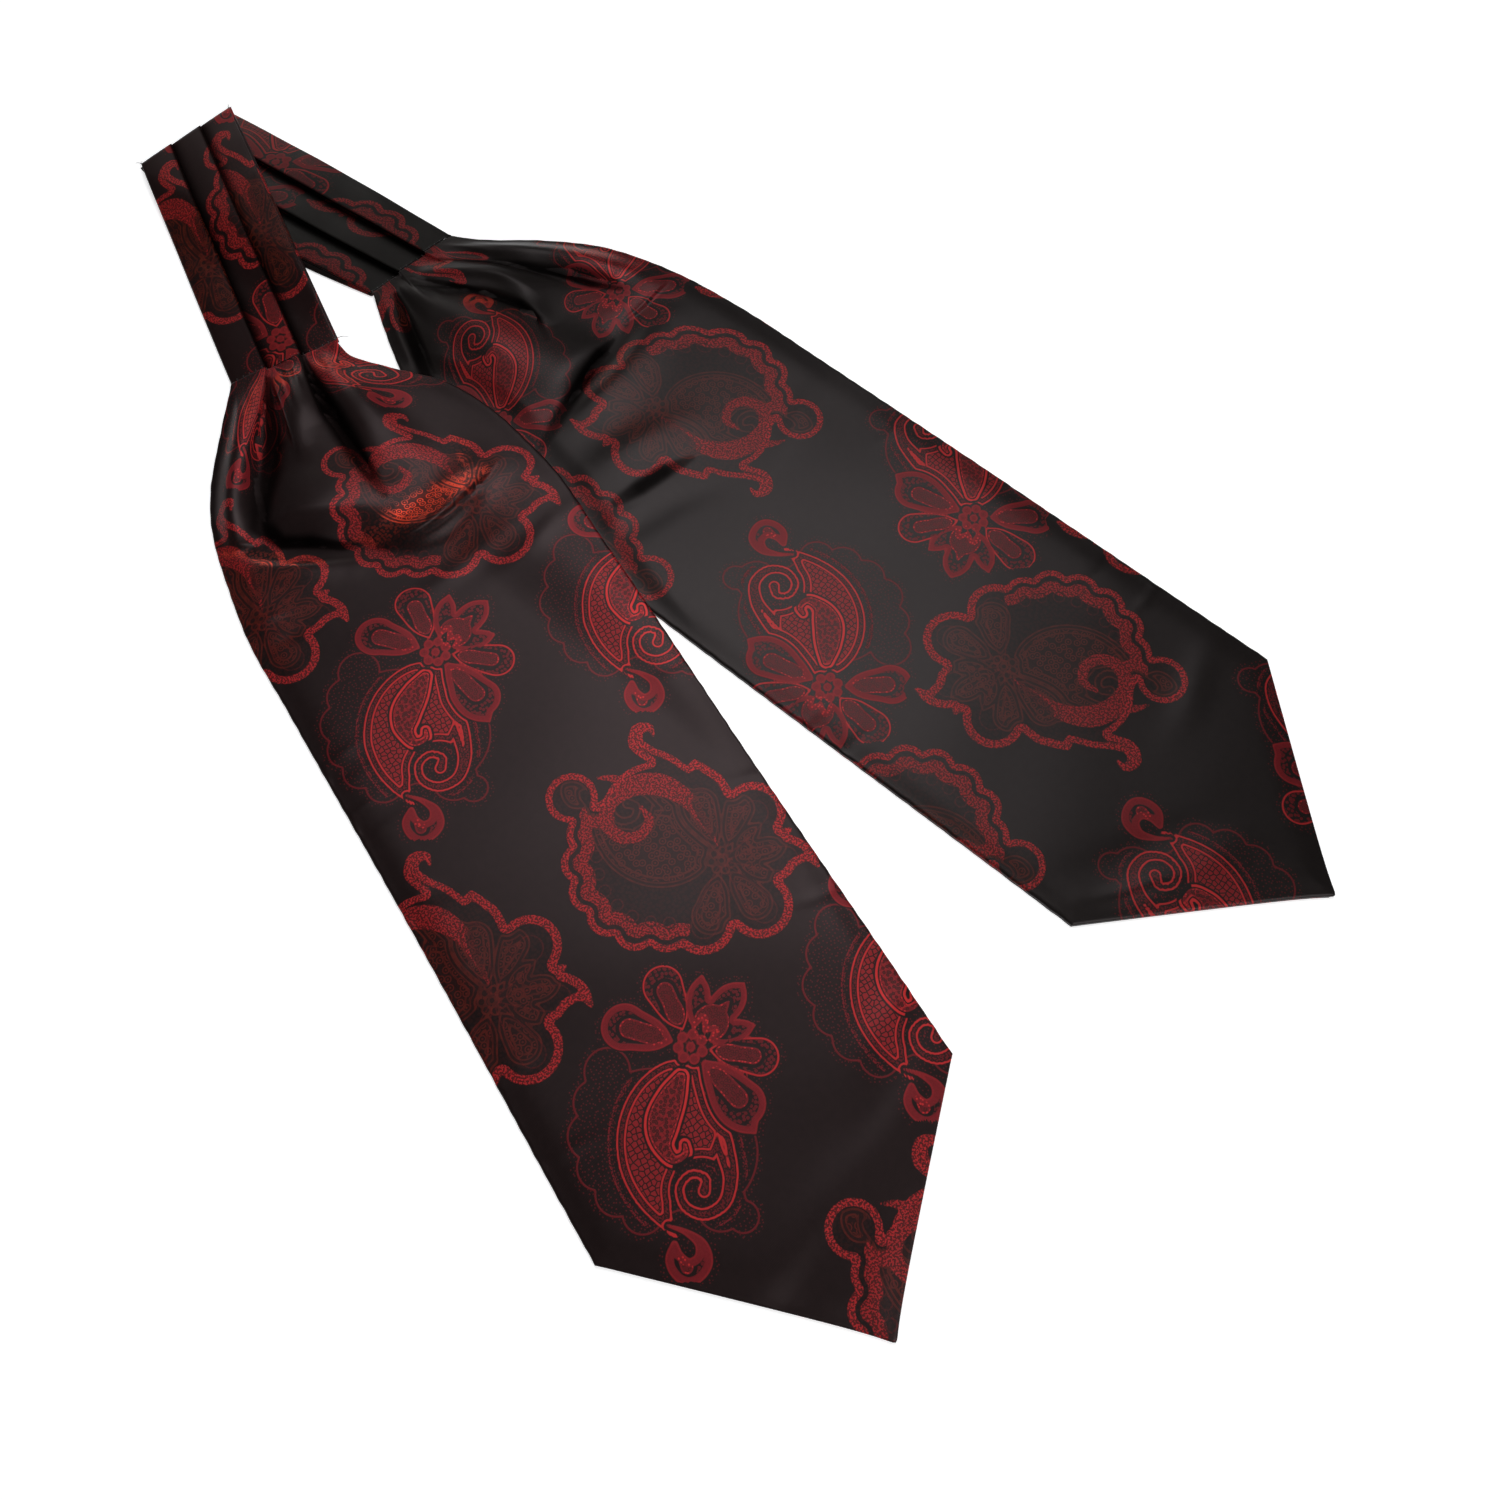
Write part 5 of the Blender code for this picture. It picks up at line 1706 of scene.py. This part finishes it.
def band_shell(side, under, figures, material):
    """Half the neckband in knife-pleated silk, from the centre-back fold to its seam."""
    corners = band_corners(side)
    seam, fold = np.array(corners[:2]), np.array(corners[2:])
    length = np.linalg.norm(fold.mean(axis=0) - seam.mean(axis=0))
    straight = np.linspace(1.3 * BAND_TURN, length - SEAM_GAP, 170)
    stations = np.append(BAND_TURN * np.array(TURN_STATIONS), straight)
    section = pleated_section(side.panel_cloth)
    outer, inner = thickened(section[:, :2], BAND_CLOTH)
    ring = np.vstack([outer, inner[::-1]])
    ring_cloth = np.append(section[:, 2], section[::-1, 2]) * (-1.0 if side.turned else 1.0)

    surface = [band_row(side, distance, length, corners, ring, under) for distance in stations]
    points = np.array(surface).transpose(0, 2, 1)
    rows, count, _ = points.shape
    number = np.arange(rows * count).reshape(rows, count)
    name = f"{side.name}_neckband_silk"
    piece = add_mesh(name, points.reshape(-1, 3).tolist(), tube_faces(number), material)
    face_outwards(piece.data)

    along = NECK_CLOTH + GATHER_SQUEEZE + (length - stations)[:, None] * 1000.0
    along = along + np.zeros((rows, count))
    across = np.repeat(ring_cloth[None], rows, axis=0)
    fields = weave_fields(side, along, across, figures)
    # A little painted highlight all over the band, and painted shade in its grooves.
    fields["painted_highlight"] = np.full(along.shape, HIGHLIGHT_ON_BAND)
    fields["painted_shade"] = np.repeat(groove_shade(ring[:, 0] / BAND_WIDTH)[None], rows, axis=0)
    dress(piece.data, (along, across), fields, number.ravel())
    return piece


# ---- Sewing ----------------------------------------------------------------------------------
def stitch_tree(material):
    """Geometry Nodes that set a stitch across a seam at every step along its line."""
    tree = bpy.data.node_groups.new("seam stitches", "GeometryNodeTree")
    for in_out in ("OUTPUT", "INPUT"):
        kind = "NodeSocketGeometry"
        tree.interface.new_socket("Geometry", in_out=in_out, socket_type=kind)
    for name, value in STITCHES.items():
        kind = "NodeSocketInt" if name == "Seed" else "NodeSocketFloat"
        socket = tree.interface.new_socket(name, in_out="INPUT", socket_type=kind)
        socket.default_value = value
    n = Nodes(tree)
    given = n.add("NodeGroupInput").outputs

    line = n.add("GeometryNodeMeshToCurve", Mesh=given["Geometry"]).outputs[0]
    settings = {"mode": "LENGTH"}
    points = n.add("GeometryNodeCurveToPoints", settings, Curve=line, Length=given["Spacing"])
    # A stitch is a short thread that arches over the seam.
    settings = {"mode": "POSITION"}
    arch = n.add("GeometryNodeCurvePrimitiveBezierSegment", settings, Resolution=8)
    half = n.maths("MULTIPLY", given["Stitch Length"], 0.5)
    for name, out, rise in STITCH_ARCH:
        across, up = n.maths("MULTIPLY", half, out), n.maths("MULTIPLY", half, rise)
        n.feed(arch.inputs[name], n.add("ShaderNodeCombineXYZ", Y=across, Z=up).outputs[0])
    kind = "GeometryNodeCurvePrimitiveCircle"
    profile = n.add(kind, Resolution=6, Radius=given["Thread Radius"]).outputs[0]
    thread = n.add("GeometryNodeCurveToMesh", Curve=arch.outputs[0], Profile_Curve=profile)
    thread.inputs["Fill Caps"].default_value = True

    settings = {"axis": "X", "pivot_axis": "Z"}
    kind = "FunctionNodeAlignRotationToVector"
    onward = n.add(kind, settings, Vector=points.outputs["Tangent"]).outputs[0]
    vary = n.add("FunctionNodeRandomValue", {"data_type": "FLOAT_VECTOR"}, Seed=given["Seed"])
    vary.inputs[0].default_value = tuple(-most for most in STITCH_TURNS)
    vary.inputs[1].default_value = STITCH_TURNS
    turn = n.add("FunctionNodeEulerToRotation", Euler=vary.outputs[0]).outputs[0]
    settings = {"rotation_space": "LOCAL"}
    turned = n.add("FunctionNodeRotateRotation", settings, Rotation=onward, Rotate_By=turn)
    placed = n.add(
        "GeometryNodeInstanceOnPoints", Points=points.outputs["Points"],
        Instance=thread.outputs[0], Rotation=turned.outputs[0],
    )
    real = n.add("GeometryNodeRealizeInstances", Geometry=placed.outputs[0]).outputs[0]
    done = n.add("GeometryNodeSetMaterial", Geometry=real, Material=material).outputs[0]
    n.feed(n.add("NodeGroupOutput").inputs["Geometry"], done)
    return tree


def seam_stitches(side, neck, material):
    """The stitches that hold a blade to the neckband, along the top of their seam."""
    name = f"{side.name}_seam_stitches"
    to_band = np.array([math.cos(side.angle), math.sin(side.angle), 0.0]) * SEAM_GAP / 2
    points = neck[3:-3] + to_band + [0, 0, STITCH_RISE]
    mesh = bpy.data.meshes.new(name)
    mesh.from_pydata(points.tolist(), [(k, k + 1) for k in range(len(points) - 1)], [])
    line = bpy.data.objects.new(name + "_line", mesh)
    bpy.context.scene.collection.objects.link(line)
    tree = stitch_tree(material)
    modifier = line.modifiers.new("stitches", "NODES")
    modifier.node_group = tree
    for socket in tree.interface.items_tree:
        if socket.in_out == "INPUT" and socket.name in STITCHES:
            modifier[socket.identifier] = STITCHES[socket.name]
    graph = bpy.context.evaluated_depsgraph_get()
    made = bpy.data.meshes.new_from_object(line.evaluated_get(graph))
    made.name = name
    line.modifiers.remove(modifier)
    bpy.data.objects.remove(line)
    made.materials.clear()
    made.materials.append(material)
    made.shade_smooth()
    piece = bpy.data.objects.new(name, made)
    bpy.context.scene.collection.objects.link(piece)
    return piece


def thread_tails(name, corners, material):
    """Loose ends of sewing thread at the corners of the folds, each a thin tapering tube."""
    vertices, faces = [], []
    last = TAIL_STEPS - 1
    turns = [2 * math.pi * c / TAIL_SIDES for c in range(TAIL_SIDES)]
    for corner, heading, length, lift, curl in corners:
        start = len(vertices)
        for t in (k / last for k in range(TAIL_STEPS)):
            bend = math.radians(heading) + math.radians(curl) * t
            x = corner[0] + length * t * math.cos(bend)
            y = corner[1] + length * t * math.sin(bend)
            z = corner[2] + lift * math.sin(math.pi * 0.6 * t)
            radius = TAIL_RADIUS * (1 - 0.5 * t)
            for turn in turns:
                out, up = radius * math.cos(turn), radius * math.sin(turn)
                vertices.append((x - out * math.sin(bend), y + out * math.cos(bend), z + up))
        for k, c in itertools.product(range(last), range(TAIL_SIDES)):
            a = start + TAIL_SIDES * k + c
            b = start + TAIL_SIDES * k + (c + 1) % TAIL_SIDES
            faces.append((a, b, b + TAIL_SIDES, a + TAIL_SIDES))
        faces.append(tuple(start + c for c in reversed(range(TAIL_SIDES))))
        faces.append(tuple(start + TAIL_SIDES * last + c for c in range(TAIL_SIDES)))
    piece = add_mesh(name, vertices, faces, material)
    face_outwards(piece.data)
    piece.data.shade_smooth()
    return piece


# ---- Studio ----------------------------------------------------------------------------------
def make_camera():
    """The camera, which looks at the cravat from in front and above."""
    data = bpy.data.cameras.new("camera")
    data.lens = 32.0
    data.sensor_width = 36.0
    data.clip_start = 0.01
    camera = bpy.data.objects.new("camera", data)
    camera.location = (
        LOOKS_AT[0],
        LOOKS_AT[1] - CAMERA_AWAY * math.cos(CAMERA_UP),
        CAMERA_AWAY * math.sin(CAMERA_UP),
    )
    camera.rotation_euler = (math.pi / 2 - CAMERA_UP, 0.0, 0.0)
    bpy.context.scene.collection.objects.link(camera)
    bpy.context.scene.camera = camera


def make_floor():
    """A pale floor, and a pale wall all round that curves up out of it."""
    far = FLOOR_REACH
    corners = [(-far, -far, 0), (far, -far, 0), (far, far, 0), (-far, far, 0)]
    add_mesh("floor", corners, [(0, 1, 2, 3)], paper("paper"))
    vertices, faces = [], []
    for level, (radius, height) in enumerate(WALL_PROFILE):
        for k in range(WALL_TURNS):
            turn = 2 * math.pi * k / WALL_TURNS
            vertices.append((radius * math.cos(turn), radius * math.sin(turn), height))
            if level:
                a, b = level * WALL_TURNS + k, level * WALL_TURNS + (k + 1) % WALL_TURNS
                faces.append((a - WALL_TURNS, a, b, b - WALL_TURNS))
    backdrop = add_mesh("backdrop", vertices, faces, paper("backdrop paper"))
    backdrop.data.shade_smooth()
    # It is kept out of the silk's reflections.
    backdrop.visible_glossy = backdrop.visible_diffuse = backdrop.visible_shadow = False


def make_lights():
    """Soft lamps that aim at the cravat, and a dim white world."""
    scene = bpy.context.scene
    for name, where, width, power, colour in LAMPS:
        light = bpy.data.lights.new(name, "AREA")
        light.size = width
        light.energy = power
        light.color = colour
        lamp = bpy.data.objects.new(name, light)
        lamp.location = where
        aim = np.array(where) - np.array(LOOKS_AT)
        flat = math.hypot(aim[0], aim[1])
        lamp.rotation_euler = (math.atan2(flat, aim[2]), 0.0, math.atan2(aim[0], -aim[1]))
        lamp.visible_camera = False
        scene.collection.objects.link(lamp)
    world = bpy.data.worlds.new("studio")
    world.use_nodes = True
    backdrop = world.node_tree.nodes["Background"]
    backdrop.inputs["Color"].default_value = (1.0, 1.0, 1.0, 1.0)
    backdrop.inputs["Strength"].default_value = 0.05
    scene.world = world
    scene.view_settings.view_transform = "Standard"


# ---- The cravat ------------------------------------------------------------------------------
class Side:
    """One side of the cravat, a blade and its half of the neckband, by their tables."""

    def __init__(self, name, **tables):
        self.name = name
        for key, table in tables.items():
            setattr(self, key, table)


# A blade's cloth_start is where its flat cloth's left edge lies across, in mm.
LEFT = Side(
    "left", tip=LEFT_TIP, angle=LEFT_ANGLE, slopes=LEFT_V, sections=LEFT_SIDES,
    folds=LEFT_FOLDS, tucks=LEFT_TUCKS, gathers=LEFT_GATHERS, creases=LEFT_CREASES, waves=LEFT_WAVES,
    pinched=LEFT_PAINTED_SHADE, drawn=LEFT_PAINTED_HIGHLIGHTS, swallows=LEFT_SWALLOWS, drags=[], pucker_seed=1.0,
    pleats=PLEATS, bows=LEFT_BOWS, panel_cloth=LEFT_PANEL_CLOTH, cloth_start=-76.2,
    bloom_at=LEFT_BLOOM, shade_at=LEFT_SHADE, skew=LEFT_SKEW, turned=False,
)
RIGHT = Side(
    "right", tip=RIGHT_TIP, angle=RIGHT_ANGLE, slopes=RIGHT_V, sections=RIGHT_SIDES,
    folds=RIGHT_FOLDS, tucks=RIGHT_TUCKS, gathers=RIGHT_GATHERS, creases=RIGHT_CREASES,
    waves=RIGHT_WAVES, pinched=RIGHT_PAINTED_SHADE, drawn=[], swallows=RIGHT_SWALLOWS,
    drags=RIGHT_DRAGS, pucker_seed=2.0, pleats=mirrored(PLEATS), bows=RIGHT_BOWS,
    panel_cloth=RIGHT_PANEL_CLOTH, cloth_start=-75.4, bloom_at=RIGHT_BLOOM,
    shade_at=RIGHT_SHADE, skew=RIGHT_SKEW, turned=True,
)


def cut_size(side, node):
    """Width, length and area of a piece as it was cut, and how its cloth is held."""
    if "band" in node:
        longest, middle = BAND_LENGTHS[side.name]
        return CUT_WIDTH, longest, CUT_WIDTH * middle, "folded"
    length = side.sections[-1][0] / 1000.0
    return CUT_WIDTH, length, CUT_WIDTH * (length - V_CUT / 2), "laid"


def declare(side, piece, node):
    """Attach a sheet of silk to the root and hide its solid; its cut size is worked out but not
    used.
    """
    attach(piece, "root")
    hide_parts(node)
    width, length, area, held = cut_size(side, node)


def make_sewing(necks, materials):
    """The stitches of both neck seams, and the loose ends of thread."""
    pieces = [seam_stitches(side, necks[side], materials["thread"]) for side in (LEFT, RIGHT)]
    corners = {
        "left": (*FOLD_LEFT, TAIL_HEIGHT),
        "right": (*FOLD_RIGHT, TAIL_HEIGHT),
        "seam": tuple(necks[LEFT][-2]),
    }
    ends = []
    for where, heading, length, lift, curl in TAILS:
        ends.append((corners[where], heading, length / 1000, lift / 1000, curl))
    pieces.append(thread_tails("loose_thread_ends", ends, materials["tail"]))
    for piece in pieces:
        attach(piece, "root")


def main():
    """The studio, and the cravat with its left blade and half-band on top."""
    make_camera()
    make_floor()
    make_lights()
    materials = make_materials()
    figures = [Figure(bloom), Figure(shade)]
    plain = shares(OUTLINE_COLUMNS, CUT_WIDTH)
    left_outline, right_outline = (
        outline(place(side, *blade_grid(side, plain, *OUTLINE_ROWS))) for side in (LEFT, RIGHT)
    )
    under = np.array([band_corners(RIGHT)[k] for k in (0, 1, 3, 2)])
    stacked = [
        (RIGHT, None, left_outline, None, materials["right"], materials["band turned"]),
        (LEFT, right_outline, None, under, materials["left"], materials["band"]),
    ]
    blades, bands, necks = {}, {}, {}
    for side, beneath, covering, band_under, blade_silk, band_silk in stacked:
        front, back, neck = blade_shells(side, beneath, covering, figures, blade_silk)
        blades[side], necks[side] = (front, back), neck
        bands[side] = band_shell(side, band_under, figures, band_silk)
    make_sewing(necks, materials)
    for side in (LEFT, RIGHT):
        for piece, face in zip(blades[side], ("front", "back")):
            declare(side, piece, f"blade_{side.name}_{face}")
    for side in (LEFT, RIGHT):
        declare(side, bands[side], f"neckband_{side.name}")


main()
